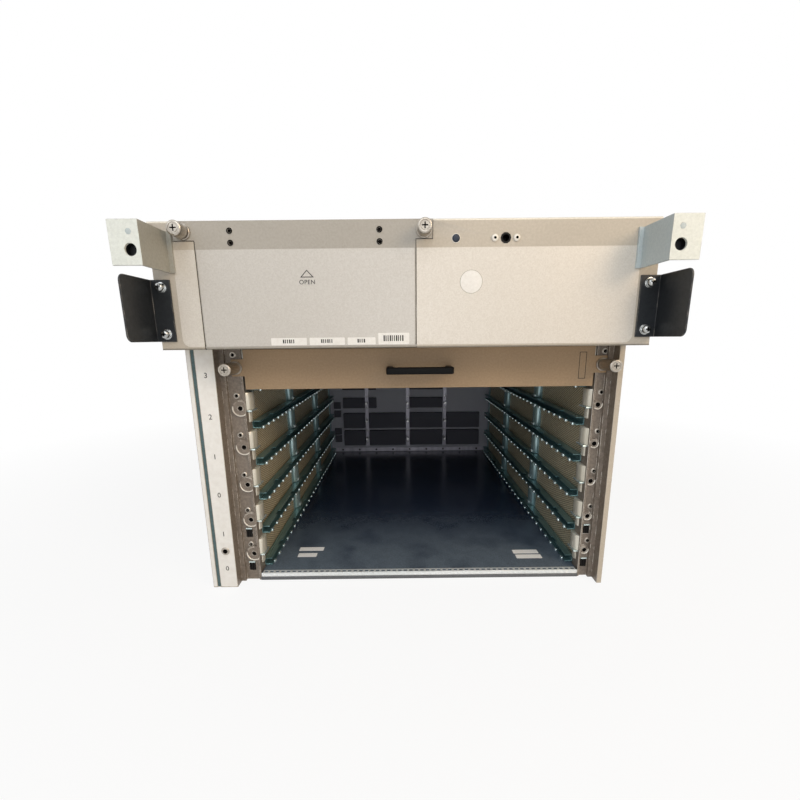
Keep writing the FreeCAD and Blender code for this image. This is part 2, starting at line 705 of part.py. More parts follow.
def make_card_guide(side, name, level):
    """A channel that carries one edge of a card, with a notched upper flange."""
    body = new_body(f"card_guide_{SIDE_NAME[side]}_{name}")
    back = opening_edge(side) + wall * side
    tip = back - d.guide_depth * side
    low = level - d.guide_height / 2
    high = level + d.guide_height / 2
    section = bent_sheet([(tip, low), (back, low), (back, high), (tip, high)], d.guide_wall, side)
    start = d.post_return + d.bead_width
    extrude(body, "XZ", start, d.cage_depth - d.bead_width, section)
    ends = sorted((tip, tip + d.notch_depth * side), key=lambda place: place.value)
    first = start + d.guide_pitch / 2
    notch = cut(
        body,
        "XY",
        high - d.guide_wall,
        high,
        rectangle(ends[0], first, ends[1], first + d.notch_length),
    )
    repeat(body, [notch], "Y", d.guide_pitch, GUIDE_NOTCHES)


def make_backplane():
    """The backplane, its connector blocks slot by slot, and its guide pins."""
    board = new_body("backplane_board")
    spread = wall * 2 + d.screen_wall
    outline = rectangle(cage_left - spread, deck_top + wall, cage_right + spread, roof_bottom - wall)
    extrude(board, "XZ", d.cage_depth, d.cage_depth + d.board_wall, outline)

    widths = [d.power_block, d.fabric_block, d.signal_block, d.signal_block]
    starts = [cage_left + d.connector_inset]
    for width in widths[:-1]:
        starts.append(starts[-1] + width + d.connector_gap)
    control_blocks = list(zip(starts, widths))
    line_blocks = [control_blocks[0], (starts[1], d.sense_block), control_blocks[2]]
    face = d.cage_depth - d.connector_reach
    pins = []
    for level, (name, centre) in enumerate(zip(slot_names, slot_centres)):
        control = level < CONTROL_SLOTS
        height = d.control_block_height if control else d.line_block_height
        middle = centre + d.connector_rise
        body = new_body(f"slot_connectors_{name}")
        blocks = control_blocks if control else line_blocks
        outlines = [block(start + width / 2, middle, width, height) for start, width in blocks]
        extrude(body, "XZ", face, d.cage_depth, *outlines)
        pins += [facets(start - d.connector_gap / 2, middle, d.guide_pin_radius) for start in starts[1:]]
    body = new_body("backplane_guide_pins")
    extrude(body, "XZ", d.cage_depth - d.guide_pin_reach, d.cage_depth, *pins)


door_screw_x = {LEFT: door_left - d.tab_left / 2, RIGHT: door_right + d.tab_right / 2}


def guard_screw_places():
    """The middles of the side guards' screws on the bezel."""
    low = bezel_bottom + d.guard_bottom
    heights = (low + d.guard_screw_margin, low + d.guard_height - d.guard_screw_margin)
    return [((half - d.guard_screw_inset) * side, height) for side in (LEFT, RIGHT) for height in heights]


def make_bezel_hood():
    """The fan bezel: a hood with a fixed face on each side of the fan door."""
    body = new_body("bezel_hood")
    outside = rectangle(-hood_side, bezel_bottom, hood_side, d.chassis_height)
    inside = rectangle(-half, roof_bottom, half, top_inside)
    extrude(body, "XZ", bezel_face, hood_back, outside, inside)
    left_face = rectangle(-hood_side, bezel_bottom, door_left - d.door_gap, d.chassis_height)
    right_face = rectangle(door_right + d.door_gap, bezel_bottom, hood_side, d.chassis_height)
    extrude(body, "XZ", bezel_face, bezel_back, left_face, right_face)
    cut(body, "XY", bezel_bottom, roof_bottom, rectangle(-half, d.hood_sill, half, hood_back))

    tab_start = door_left - d.tab_left - d.door_gap
    tab_end = door_right + d.tab_right + d.door_gap
    door_start = door_left - d.door_gap
    door_end = door_right + d.door_gap
    seat_face = bezel_back + d.seat_gap
    cut(body, "XY", top_inside, d.chassis_height, rectangle(tab_start, bezel_face, tab_end, seat_face))
    roll_back = bezel_face + d.roll_radius * 2 + d.door_gap
    cut(body, "XY", bezel_bottom, roof_bottom, rectangle(door_start, bezel_face, door_end, roll_back))
    tab_bottom = door_top - d.tab_height - d.door_gap
    left_notch = rectangle(tab_start, tab_bottom, door_start, d.chassis_height)
    right_notch = rectangle(door_end, tab_bottom, tab_end, d.chassis_height)
    cut(body, "XZ", bezel_face, bezel_back, left_notch, right_notch)

    cheek = rectangle(bezel_face, bezel_bottom, bezel_face + d.cheek_depth, bezel_bottom + d.cheek_height)
    extrude(body, "YZ", door_start - wall, door_start, cheek)
    extrude(body, "YZ", door_end, door_end + wall, cheek)
    pin_hole = facets(hinge_y, hinge_z, d.hinge_pin_radius + d.pin_gap, ROUND_SIDES)
    cut(body, "YZ", door_start - wall, door_end + wall, pin_hole)

    nut_plates = []
    screw_holes = []
    for side in (LEFT, RIGHT):
        x = door_screw_x[side]
        nut_half = d.nut_plate_width / 2
        nut_bottom = top_inside - d.nut_plate_height
        nut_plates.append(rectangle(x - nut_half, nut_bottom, x + nut_half, top_inside))
        screw_holes.append(facets(x, door_screw_z, d.screw_hole))
    extrude(body, "XZ", seat_face, seat_face + d.nut_plate_wall, *nut_plates)
    cut(body, "XZ", seat_face, seat_face + d.nut_plate_wall, *screw_holes)

    holes = [
        facets(lamp_x, fitting_z, d.lamp_radius + d.pin_gap, ROUND_SIDES),
        facets(socket_x, fitting_z, d.socket_radius + d.pin_gap, ROUND_SIDES),
    ]
    holes += [
        facets(socket_x + d.socket_screw_pitch / 2 * side, fitting_z, d.socket_screw_radius + d.pin_gap)
        for side in (LEFT, RIGHT)
    ]
    holes += [facets(x, z, d.guard_screw_shank + d.pin_gap) for x, z in guard_screw_places()]
    cut(body, "XZ", bezel_face, bezel_back, *holes)


def make_fan_door():
    """The drop-down fan door: its plate with two screw tabs, and the rolled edge on the pin."""
    body = new_body("fan_door")
    plate_bottom = hinge_z + (d.roll_radius + d.hinge_pin_radius + d.pin_gap) / 2
    tab_bottom = door_top - d.tab_height
    plate = polygon(
        (door_left, plate_bottom),
        (door_right, plate_bottom),
        (door_right, tab_bottom),
        (door_right + d.tab_right, tab_bottom),
        (door_right + d.tab_right, door_top),
        (door_left - d.tab_left, door_top),
        (door_left - d.tab_left, tab_bottom),
        (door_left, tab_bottom),
    )
    extrude(body, "XZ", bezel_face, bezel_back, plate)
    roll = facets(hinge_y, hinge_z, d.roll_radius, ROUND_SIDES)
    bore = facets(hinge_y, hinge_z, d.hinge_pin_radius + d.pin_gap, ROUND_SIDES)
    extrude(body, "YZ", door_left, door_right, roll, bore)
    fold_bottom = bezel_bottom + d.frame_border
    fold_top = tab_bottom - d.frame_border
    for low in (door_left, door_right - wall):
        fold = rectangle(bezel_face, fold_bottom, bezel_face + d.door_return, fold_top)
        extrude(body, "YZ", low, low + wall, fold)
    holes = [facets(door_screw_x[side], door_screw_z, d.screw_hole) for side in (LEFT, RIGHT)]
    for x in (door_left + d.pull_hole_inset, door_right - d.pull_hole_inset):
        upper = door_top - d.pull_hole_drop
        holes.append(facets(x, upper, d.pull_hole_radius))
        holes.append(facets(x, upper - d.pull_hole_pitch, d.pull_hole_radius))
    cut(body, "XZ", bezel_face, bezel_back, *holes)


def make_hinge_pin():
    """The pin through the fan door's rolled edge, held in the bezel's cheeks."""
    body = new_body("hinge_pin")
    reach = d.door_gap + wall
    section = facets(hinge_y, hinge_z, d.hinge_pin_radius, ROUND_SIDES)
    extrude(body, "YZ", door_left - reach, door_right + reach, section)


def make_captive_screw(label, x, z, seat, knob_length):
    """A captive screw: a knob on a neck, a collar on its seat, and the shank."""
    body = new_body(label, x=x, z=z)
    collar_back = seat - d.seat_gap
    collar_front = collar_back - d.collar_length
    knob_front = collar_front - knob_length
    neck = d.knob_radius - d.neck_depth
    steps = (
        (d.knob_radius, knob_front, collar_front - d.collar_length),
        (neck, collar_front - d.collar_length, collar_front),
        (d.collar_radius, collar_front, collar_back),
        (d.shank_radius, collar_back, collar_back + d.shank_reach),
    )
    for radius, start, end in steps:
        extrude(body, "XZ", start, end, facets(0, 0, radius, ROUND_SIDES))


def make_slot_filler():
    """The filler of the top card slot: a folded panel with an ear over each card flange."""
    body = new_body("slot_filler_panel")
    top = bezel_bottom - d.door_gap * 2
    left_end = cage_left + d.filler_gap
    right_end = cage_right - d.filler_gap
    ear_low = filler_centre - d.filler_ear_height / 2
    ear_high = filler_centre + d.filler_ear_height / 2
    panel = polygon(
        (left_end, d.filler_bottom),
        (right_end, d.filler_bottom),
        (right_end, ear_low),
        (cage_right + d.filler_ear, ear_low),
        (cage_right + d.filler_ear, ear_high),
        (right_end, ear_high),
        (right_end, top),
        (left_end, top),
        (left_end, ear_high),
        (cage_left - d.filler_ear, ear_high),
        (cage_left - d.filler_ear, ear_low),
        (left_end, ear_low),
    )
    extrude(body, "XZ", filler_face, filler_back, panel)
    fold_left = cage_left + d.filler_clear
    fold_right = cage_right - d.filler_clear
    fold = rectangle(fold_left, filler_face, fold_right, d.filler_return)
    extrude(body, "XY", d.filler_bottom, d.filler_bottom + wall, fold)
    extrude(body, "XY", top - wall, top, fold)
    holes = [
        facets(opening_edge(side) + d.boss_inset * side, filler_centre, d.screw_hole)
        for side in (LEFT, RIGHT)
    ]
    cut(body, "XZ", filler_face, filler_back, *holes)


def make_filler_pull():
    """The moulded bar pull on the slot filler."""
    body = new_body("filler_pull")
    middle_x = (cage_left + cage_right) / 2
    middle_z = filler_centre - d.pull_drop
    low = middle_z - d.pull_height / 2
    left_end = middle_x - d.pull_width / 2
    right_end = middle_x + d.pull_width / 2
    front = filler_face - d.pull_reach
    loop = polygon(
        (left_end, filler_face),
        (left_end, front),
        (right_end, front),
        (right_end, filler_face),
        (right_end - d.pull_bar, filler_face),
        (right_end - d.pull_bar, front + d.pull_bar),
        (left_end + d.pull_bar, front + d.pull_bar),
        (left_end + d.pull_bar, filler_face),
    )
    extrude(body, "XY", low, low + d.pull_height, loop)

    def is_front_corner(edge):
        middle = edge.CenterOfMass
        upright = abs(edge.BoundBox.ZLength - d.pull_height.value) < TINY
        return upright and abs(middle.y - front.value - edge.BoundBox.YLength / 2) < TINY

    round_edges(body, d.pull_round, is_front_corner)


def make_front_bracket(side):
    """A front bracket: a foot on the bezel, a plate before it, and a flange with a screw hole."""
    body = new_body(f"front_bracket_{SIDE_NAME[side]}")
    front = bezel_face - d.bracket_reach
    top = d.chassis_height - d.bracket_drop
    low = top - d.bracket_height
    outside = d.bracket_spread * side
    section = bent_sheet(
        [
            (outside - d.bracket_foot * side, bezel_face),
            (outside, bezel_face),
            (outside, front + d.bracket_wall),
            (outside + d.bracket_flange * side, front + d.bracket_wall),
        ],
        d.bracket_wall,
        -side,
    )
    extrude(body, "XY", low, top, section)
    hole_x = outside + d.bracket_hole_inset * side
    screw_hole = circle(hole_x, top - d.bracket_hole_drop, d.bracket_hole)
    clip_hole = facets(hole_x, top - d.clip_hole_drop, d.clip_hole)
    cut(body, "XZ", front, front + d.bracket_wall, screw_hole, clip_hole)


def make_side_guard(side):
    """A side guard: a foot screwed to the bezel's face and a rounded wing before it."""
    body = new_body(f"side_guard_{SIDE_NAME[side]}")
    low = bezel_bottom + d.guard_bottom
    front = bezel_face - d.guard_reach
    foot = (half - d.guard_inset) * side
    outside = (half + d.guard_spread) * side
    section = bent_sheet(
        [(foot, bezel_face), (outside, bezel_face), (outside, front)], d.guard_wall, -side
    )
    extrude(body, "XY", low, low + d.guard_height, section)

    def is_front_corner(edge):
        across = abs(edge.BoundBox.XLength - d.guard_wall.value) < TINY
        return across and abs(edge.CenterOfMass.y - front.value) < TINY

    round_edges(body, d.guard_round, is_front_corner)
    places = [(x, z) for x, z in guard_screw_places() if x.value * side > 0]
    holes = [facets(x, z, d.guard_screw_shank + d.pin_gap) for x, z in places]
    cut(body, "XZ", bezel_face - d.guard_wall, bezel_face, *holes)


def make_guard_screws():
    """The four screws that hold the side guards to the bezel."""
    body = new_body("guard_screws")
    seat = bezel_face - d.guard_wall
    places = guard_screw_places()
    heads = [facets(x, z, d.guard_screw_head, ROUND_SIDES) for x, z in places]
    shanks = [facets(x, z, d.guard_screw_shank) for x, z in places]
    extrude(body, "XZ", seat - d.guard_screw_rise, seat, *heads)
    extrude(body, "XZ", seat, seat + d.guard_screw_reach, *shanks)


def make_status_lamp():
    """The status lamp's lens, held in the bezel by the collar behind it."""
    body = new_body("status_lamp", x=lamp_x, z=fitting_z)
    lens = facets(0, 0, d.lamp_radius, ROUND_SIDES)
    extrude(body, "XZ", bezel_face - d.lamp_rise, bezel_back, lens)
    extrude(body, "XZ", bezel_back, bezel_back + wall, facets(0, 0, d.lamp_collar, ROUND_SIDES))


def make_alarm_socket():
    """The alarm socket behind the bezel, and its two screws."""
    body = new_body("alarm_socket")
    flange = block(socket_x, fitting_z, d.socket_flange * 2, d.socket_radius * 2 + wall)
    extrude(body, "XZ", bezel_back, bezel_back + wall, flange)
    back = bezel_back + d.socket_depth
    extrude(body, "XZ", bezel_face, back, facets(socket_x, fitting_z, d.socket_radius, ROUND_SIDES))
    cut(body, "XZ", bezel_face, back - wall, facets(socket_x, fitting_z, d.socket_bore, ROUND_SIDES))
    places = [socket_x + d.socket_screw_pitch / 2 * side for side in (LEFT, RIGHT)]
    holes = [facets(x, fitting_z, d.socket_screw_radius + d.pin_gap) for x in places]
    cut(body, "XZ", bezel_back, bezel_back + wall, *holes)

    screws = new_body("socket_screws")
    heads = [facets(x, fitting_z, d.socket_screw_head, ROUND_SIDES) for x in places]
    shanks = [facets(x, fitting_z, d.socket_screw_radius) for x in places]
    extrude(screws, "XZ", bezel_face - d.socket_screw_rise, bezel_face, *heads)
    extrude(screws, "XZ", bezel_face, bezel_back + d.socket_depth / 2, *shanks)


def make_fan_tray(index, middle):
    """A fan tray: a folded pan with an air opening, a spider and a shaft for each fan."""
    body = new_body(f"fan_tray_{index}")
    low = roof_top
    floor_top = low + wall
    back = tray_face + d.tray_length
    left_end = middle - tray_width / 2
    right_end = middle + tray_width / 2
    section = bent_sheet(
        [
            (left_end, low + d.tray_side),
            (left_end, low),
            (right_end, low),
            (right_end, low + d.tray_side),
        ],
        wall,
        1,
    )
    extrude(body, "XZ", tray_face, back, section)
    front = rectangle(left_end, low, right_end, low + d.tray_front)
    extrude(body, "XZ", tray_face, tray_face + wall, front)
    extrude(body, "XZ", back - wall, back, rectangle(left_end, low, right_end, low + d.tray_side))
    grip_z = low + d.tray_front - d.tray_grip_drop
    grip = block(middle, grip_z, d.tray_grip, d.tray_grip_height)
    cut(body, "XZ", tray_face, tray_face + wall, grip)

    air_way = facets(middle, first_fan_y, d.fan_bore, OPENING_SIDES)
    opening = cut(body, "XY", low, floor_top, air_way)
    repeat(body, [opening], "Y", d.fan_pitch, FANS_PER_TRAY)
    span = d.fan_bore * 2 + wall
    across = extrude(body, "XY", low, floor_top, block(middle, first_fan_y, span, d.spider_arm))
    along = extrude(body, "XY", low, floor_top, block(middle, first_fan_y, d.spider_arm, span))
    pin = facets(middle, first_fan_y, d.fan_shaft)
    shaft = extrude(body, "XY", low, floor_top + d.shaft_rise, pin)
    repeat(body, [across, along, shaft], "Y", d.fan_pitch, FANS_PER_TRAY)


def blade_section(middle_z):
    """The section of a blade: a thin slanted rectangle about the rotor's mid height."""
    reach = d.blade_chord / 2
    thick = d.blade_wall / 2
    corners = []
    for along, through in ((-1, -1), (1, -1), (1, 1), (-1, 1)):
        y = reach * (along * math.cos(BLADE_SLANT)) - thick * (through * math.sin(BLADE_SLANT))
        z = reach * (along * math.sin(BLADE_SLANT)) + thick * (through * math.cos(BLADE_SLANT))
        corners.append((y, middle_z + z))
    return polygon(*corners)


def make_fan_rotor(label, x, y):
    """A fan rotor: a hub on the tray's shaft and slanted blades round it."""
    body = new_body(label, x=x, z=roof_top + wall + d.seat_gap * 2)
    bind(body, "Placement.Base.y", flange_plane + y)
    rim = facets(0, 0, d.hub_radius, ROUND_SIDES)
    bore = facets(0, 0, d.fan_shaft + d.seat_gap * 2)
    extrude(body, "XY", 0, d.hub_height, rim, bore)
    blade_root = d.hub_radius - d.blade_chord / 4
    blade = extrude(body, "YZ", blade_root, d.blade_reach, blade_section(d.hub_height / 2))
    blades = body.newObject("PartDesign::PolarPattern", "blades")
    blades.Originals = [blade]
    blades.Axis = (origin(body, "Z_Axis"), [""])
    blades.Angle = 360
    blades.Occurrences = BLADES
    body.Tip = blades


def make_chassis():
    """Every piece of the chassis, from the base upwards."""
    make_base_pan()
    make_top_cover()
    make_rear_panel()
    make_cage_roof()
    make_floor_deck()
    make_sill_gasket()
    make_ground_jack()
    for side in (LEFT, RIGHT):
        make_side_panel(side)
        make_front_post(side)
        make_guide_frame(side)
        make_air_screen(side)
        for name, level in zip(slot_names, slot_floors):
            make_card_guide(side, name, level)
    make_backplane()


def make_bezel():
    """The fan bezel, what is fixed on it, and the door with its screws."""
    make_bezel_hood()
    make_fan_door()
    make_hinge_pin()
    for side in (LEFT, RIGHT):
        label = f"door_screw_{SIDE_NAME[side]}"
        make_captive_screw(label, door_screw_x[side], door_screw_z, bezel_face, d.knob_length)
        make_front_bracket(side)
        make_side_guard(side)
    make_guard_screws()
    make_status_lamp()
    make_alarm_socket()


def make_filler():
    """The slot filler with its pull and its screws."""
    make_slot_filler()
    make_filler_pull()
    for side in (LEFT, RIGHT):
        x = opening_edge(side) + d.boss_inset * side
        label = f"filler_screw_{SIDE_NAME[side]}"
        make_captive_screw(label, x, filler_centre, filler_face, d.filler_knob_length)


def make_fans():
    """The two fan trays and their rotors."""
    for index, middle in enumerate(tray_middles):
        make_fan_tray(index, middle)
        for fan in range(FANS_PER_TRAY):
            make_fan_rotor(f"fan_rotor_{index}_{fan}", middle, first_fan_y + d.fan_pitch * fan)


def check_document():
    """Stop if any object of the document failed, or if a piece is empty or broken."""
    for item in doc.Objects:
        if "Invalid" in item.State or "Error" in item.State:
            raise RuntimeError(f"{item.Label} of {item.getParentGeoFeatureGroup()} failed: {item.State}")
    for node in nodes:
        if node.Shape.isNull() or not node.Shape.isValid() or not node.Shape.Solids:
            raise RuntimeError(f"{node.Label} has no valid solid")


def write_parts():
    """Write each piece to its own file."""
    os.makedirs("parts", exist_ok=True)
    for node in nodes:
        node.Shape.exportStep(f"parts/{node.Label}.step")


make_chassis()
make_bezel()
make_filler()
make_fans()
doc.recompute()
check_document()
write_parts()
print(f"{len(nodes)} pieces written")
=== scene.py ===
"""An empty router chassis: the looks of its pieces, its studio and its camera."""

import json
import logging
import math
from collections.abc import Callable, Iterable, Iterator, Sequence
from contextlib import contextmanager
from dataclasses import dataclass, field
from enum import Enum

import bmesh
import bpy
from bpy.types import Material, Node, NodeSocket, NodeTree, Object
from mathutils import Matrix, Vector


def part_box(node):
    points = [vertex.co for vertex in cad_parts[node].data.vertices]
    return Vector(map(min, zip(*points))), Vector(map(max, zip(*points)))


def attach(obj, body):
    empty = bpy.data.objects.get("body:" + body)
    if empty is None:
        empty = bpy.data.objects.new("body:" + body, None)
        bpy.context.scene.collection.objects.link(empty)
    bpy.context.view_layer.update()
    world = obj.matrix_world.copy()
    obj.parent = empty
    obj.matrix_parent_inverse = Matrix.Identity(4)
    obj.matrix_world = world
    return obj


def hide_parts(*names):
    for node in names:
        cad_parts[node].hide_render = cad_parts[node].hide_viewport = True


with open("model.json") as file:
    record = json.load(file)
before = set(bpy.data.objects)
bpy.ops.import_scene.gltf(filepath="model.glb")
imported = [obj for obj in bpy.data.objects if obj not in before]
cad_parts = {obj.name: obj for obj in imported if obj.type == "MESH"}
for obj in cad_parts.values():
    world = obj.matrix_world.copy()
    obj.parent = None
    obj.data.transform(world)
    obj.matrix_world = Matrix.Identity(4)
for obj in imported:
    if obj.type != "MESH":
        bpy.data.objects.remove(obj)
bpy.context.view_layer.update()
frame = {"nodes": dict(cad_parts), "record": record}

MM = 0.001
LOG = logging.getLogger("router_chassis")
ORIGIN = (0, 0, 0)
# Points nearer to one another than this are one point.
MERGE = 0.01 * MM
# Faces that meet at less than this are one face.
FLAT_ANGLE = math.radians(1)
# Edges sharper than this are broken, and smooth shading stops at them.
EDGE_ANGLE = math.radians(35)
# A face whose normal has at least this much of an axis looks along it.
SQUARE_ON = 0.9
# A face whose normal is below this along Y looks to the front.
FORWARDS = -0.5
FOLD_RADIUS = 1.8 * MM
FOLD_STEPS = 4
CORNER_STEPS = 6
PRINT_THICKNESS = 0.06 * MM
# How far a grain changes the roughness, up and down.
ROUGH_DRIFT = 0.07
# A colour Mix node's sockets: its share, its two colours and its result.
MIX_SHARE, MIX_FIRST, MIX_SECOND, MIX_RESULT = 0, 6, 7, 2
# The card slots from the bottom, as the nodes name them.
SLOTS = ("control_0", "control_1", "line_0", "line_1", "line_2", "line_3")
Point = Sequence[float]
Pair = tuple[float, float]
Profile = Sequence[Pair]
FaceTest = Callable[[Vector, Vector], bool]
EdgeTest = Callable[[Vector, Vector], bool]


class Side(Enum):
    """A side of the chassis, seen from its front."""

    LEFT = -1
    RIGHT = 1

    @property
    def word(self) -> str:
        """The side's name as the nodes write it."""
        return self.name.lower()


class Facing(Enum):
    """The way that a piece's own +Z is turned, as angles in degrees."""

    FRONT = (90, 0, 0)
    BACK = (90, 0, 180)
    LEFT = (0, -90, 0)
    RIGHT = (0, 90, 0)
    UP = (0, 0, 0)

    @property
    def angles(self) -> tuple[float, ...]:
        """The angles in radians."""
        return tuple(math.radians(angle) for angle in self.value)


class Axis(Enum):
    """An axis of the chassis."""

    X = 0
    Y = 1
    Z = 2


@dataclass(frozen=True)
class Extent:
    """The box that a CAD node fills, by its lowest and highest corners in metres."""

    low: Vector
    high: Vector

    @classmethod
    def of(cls, node: str) -> "Extent":
        """The box of one node."""
        return cls(*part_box(node))

    @property
    def centre(self) -> Vector:
        """The middle of the box."""
        return (self.low + self.high) / 2


# Finishes


def linear(code: str) -> tuple[float, float, float, float]:
    """Turn an sRGB hex colour into a linear one.

    Args:
        code: A colour such as "#c9c3ba".

    Returns:
        Red, green, blue and full opacity, linear.
    """
    parts = [int(code[start:start + 2], 16) / 255 for start in (1, 3, 5)]
    curve = [part / 12.92 if part <= 0.04045 else ((part + 0.055) / 1.055) ** 2.4 for part in parts]
    return (curve[0], curve[1], curve[2], 1.0)


def per_mm(length: float) -> float:
    """The texture scale whose features are about this many millimetres across."""
    return 1 / (length * MM)


def feed(tree: NodeTree, node: Node, inputs: dict) -> None:
    """Put values and links into a node's sockets.

    Args:
        tree: The node tree.
        node: The node.
        inputs: A value or an output for each socket, by name or number.
    """
    for key, value in inputs.items():
        if isinstance(value, NodeSocket):
            tree.links.new(value, node.inputs[key])
        else:
            node.inputs[key].default_value = value


def add_node(
    tree: NodeTree, kind: str, inputs: dict | None = None, out: str | int = 0, **settings: object
) -> NodeSocket:
    """Add a node with its settings, its values and its links.

    Args:
        tree: The node tree.
        kind: The node's type.
        inputs: A value or an output for each socket, by name or number.
        out: The output that is wanted, by name or number.
        settings: The node's own properties.

    Returns:
        That output.
    """
    node = tree.nodes.new(kind)
    for name, value in settings.items():
        setattr(node, name, value)
    feed(tree, node, inputs or {})
    return node.outputs[out]


def remap(
    tree: NodeTree, value: NodeSocket, span: Point = (0, 1), to: Point = (0, 1), **settings: object
) -> NodeSocket:
    """Turn one span of a value into another, and hold it at the ends.

    Args:
        tree: The node tree.
        value: The value.
        span: Where it starts and ends.
        to: What it becomes there.
        settings: The node's own properties.

    Returns:
        The new value.
    """
    ends = {"From Min": span[0], "From Max": span[1], "To Min": to[0], "To Max": to[1]}
    return add_node(tree, "ShaderNodeMapRange", {"Value": value} | ends, **settings)


def blend(tree: NodeTree, share: NodeSocket, first: object, second: object) -> NodeSocket:
    """Mix two colours, each of them a value or an output.

    Args:
        tree: The node tree.
        share: How much of the second there is.
        first: One colour.
        second: The other.

    Returns:
        The mixed colour.
    """
    tones = {MIX_SHARE: share, MIX_FIRST: first, MIX_SECOND: second}
    return add_node(tree, "ShaderNodeMix", tones, MIX_RESULT, data_type="RGBA")


def lattice(tree: NodeTree, place: NodeSocket, pitch: Point, shift: float) -> NodeSocket:
    """The distance, in cells, from the middle of the nearest cell of a regular grid.

    Args:
        tree: The node tree.
        place: The point to measure at.
        pitch: The cell along X, Y and Z in millimetres, with 0 for an axis that doesn't count.
        shift: How far the grid is moved, in cells.

    Returns:
        The distance.
    """
    counts = [per_mm(step) if step else 0.0 for step in pitch]
    scaled = {0: place, 1: counts, 2: [shift] * 3}
    cells = add_node(tree, "ShaderNodeVectorMath", scaled, operation="MULTIPLY_ADD")
    within = add_node(tree, "ShaderNodeVectorMath", {0: cells}, operation="FRACTION")
    middle = [0.5 if step else shift % 1 for step in pitch]
    offset = add_node(tree, "ShaderNodeVectorMath", {0: within, 1: middle}, operation="SUBTRACT")
    return add_node(tree, "ShaderNodeVectorMath", {0: offset}, "Value", operation="LENGTH")


@dataclass(frozen=True)
class Finish:
    """What a surface is made of: its name, its colours and how rough it is.

    Args:
        name: The material's name.
        colour: Its main colour.
        second: The colour of its grain, dust or streaks.
        rough: Its roughness.
        grain_mm: The size of its grain.
    """

    name: str
    colour: str
    second: str
    rough: float = 0.5
    grain_mm: float = 2.0

    def material(self) -> Material:
        """Make the finish as a Blender material, once.

        Returns:
            The material.
        """
        found = bpy.data.materials.get(self.name)
        if found:
            return found
        material = bpy.data.materials.new(self.name)
        material.use_nodes = True
        tree = material.node_tree
        place = add_node(tree, "ShaderNodeTexCoord", out="Object")
        self.weave(tree, tree.nodes["Principled BSDF"], place)
        return material

    def weave(self, tree: NodeTree, shader: Node, place: NodeSocket) -> None:
        """Build the finish into a node tree with its shader, at the Object coordinates."""
        raise NotImplementedError

    def grained(
        self, tree: NodeTree, shader: Node, place: NodeSocket, low: float, high: float, bump: float
    ) -> NodeSocket:
        """Give the shader this finish's two tones, an uneven roughness and a fine relief.

        Args:
            tree: The node tree.
            shader: Its shader node.
            place: The point that the grain is measured at.
            low: The noise below which the main colour is pure.
            high: The noise above which the second colour is pure.
            bump: The depth of the relief in millimetres.

        Returns:
            The colour.
        """
        inputs = {"Vector": place, "Scale": per_mm(self.grain_mm), "Detail": 4.0, "Roughness": 0.6}
        grain = add_node(tree, "ShaderNodeTexNoise", inputs)
        share = remap(tree, grain, (low, high))
        colour = blend(tree, share, linear(self.colour), linear(self.second))
        sheen = (self.rough - ROUGH_DRIFT, self.rough + ROUGH_DRIFT)
        relief = {"Height": grain, "Strength": 0.5, "Distance": bump * MM}
        feed(tree, shader, {
            "Base Color": colour,
            "Roughness": remap(tree, grain, (0.2, 0.8), sheen),
            "Normal": add_node(tree, "ShaderNodeBump", relief),
        })
        return colour


@dataclass(frozen=True)
class PowderCoat(Finish):
    """Powder-coated steel: orange peel, a faint fleck, a slow drift of tone and chipped edges.

    The peel of such a coat is about half a millimetre wide. It is drawn at 2 to 3 mm so that it shows.

    Args:
        bare: The metal that shows where an edge is worn.
        chips: How much of an edge is worn, from 0 to 1.
        drift_mm: The size of the drift of tone.
        chip_mm: The size of a chip.
        edge_mm: How wide a worn edge is.
        gloss: The strength of the coat's reflection.
    """

    bare: str = "#8e8a84"
    chips: float = 0.35
    drift_mm: float = 110.0
    chip_mm: float = 9.0
    edge_mm: float = 0.9
    gloss: float = 0.4

    def weave(self, tree: NodeTree, shader: Node, place: NodeSocket) -> None:
        """Fleck and orange peel, with bare metal where a sharp edge has lost its coat.

        Args:
            tree: The node tree.
            shader: Its shader node.
            place: The Object coordinates.
        """
        colour = self.grained(tree, shader, place, low=0.35, high=0.7, bump=0.06)
        broad = {"Vector": place, "Scale": per_mm(self.drift_mm), "Detail": 3.0}
        drift = add_node(tree, "ShaderNodeTexNoise", broad)
        scaled = {0: colour, "Scale": remap(tree, drift, (0.3, 0.7), (0.93, 1.05))}
        toned = add_node(tree, "ShaderNodeVectorMath", scaled, operation="SCALE")
        round_edge = add_node(tree, "ShaderNodeBevel", {"Radius": self.edge_mm * MM}, samples=4)
        true_face = add_node(tree, "ShaderNodeNewGeometry", out="Normal")
        normals = {0: round_edge, 1: true_face}
        agree = add_node(tree, "ShaderNodeVectorMath", normals, "Value", operation="DOT_PRODUCT")
        edge = remap(tree, agree, (0.995, 0.9), (0, self.chips * 2))
        flaked = {"Vector": place, "Scale": per_mm(self.chip_mm), "Detail": 5.0}
        patch = remap(tree, add_node(tree, "ShaderNodeTexNoise", flaked), (0.48, 0.62))
        worn = add_node(tree, "ShaderNodeMath", {0: edge, 1: patch}, operation="MULTIPLY", use_clamp=True)
        mixed = blend(tree, worn, toned, linear(self.bare))
        feed(tree, shader, {"Base Color": mixed, "Specular IOR Level": self.gloss})


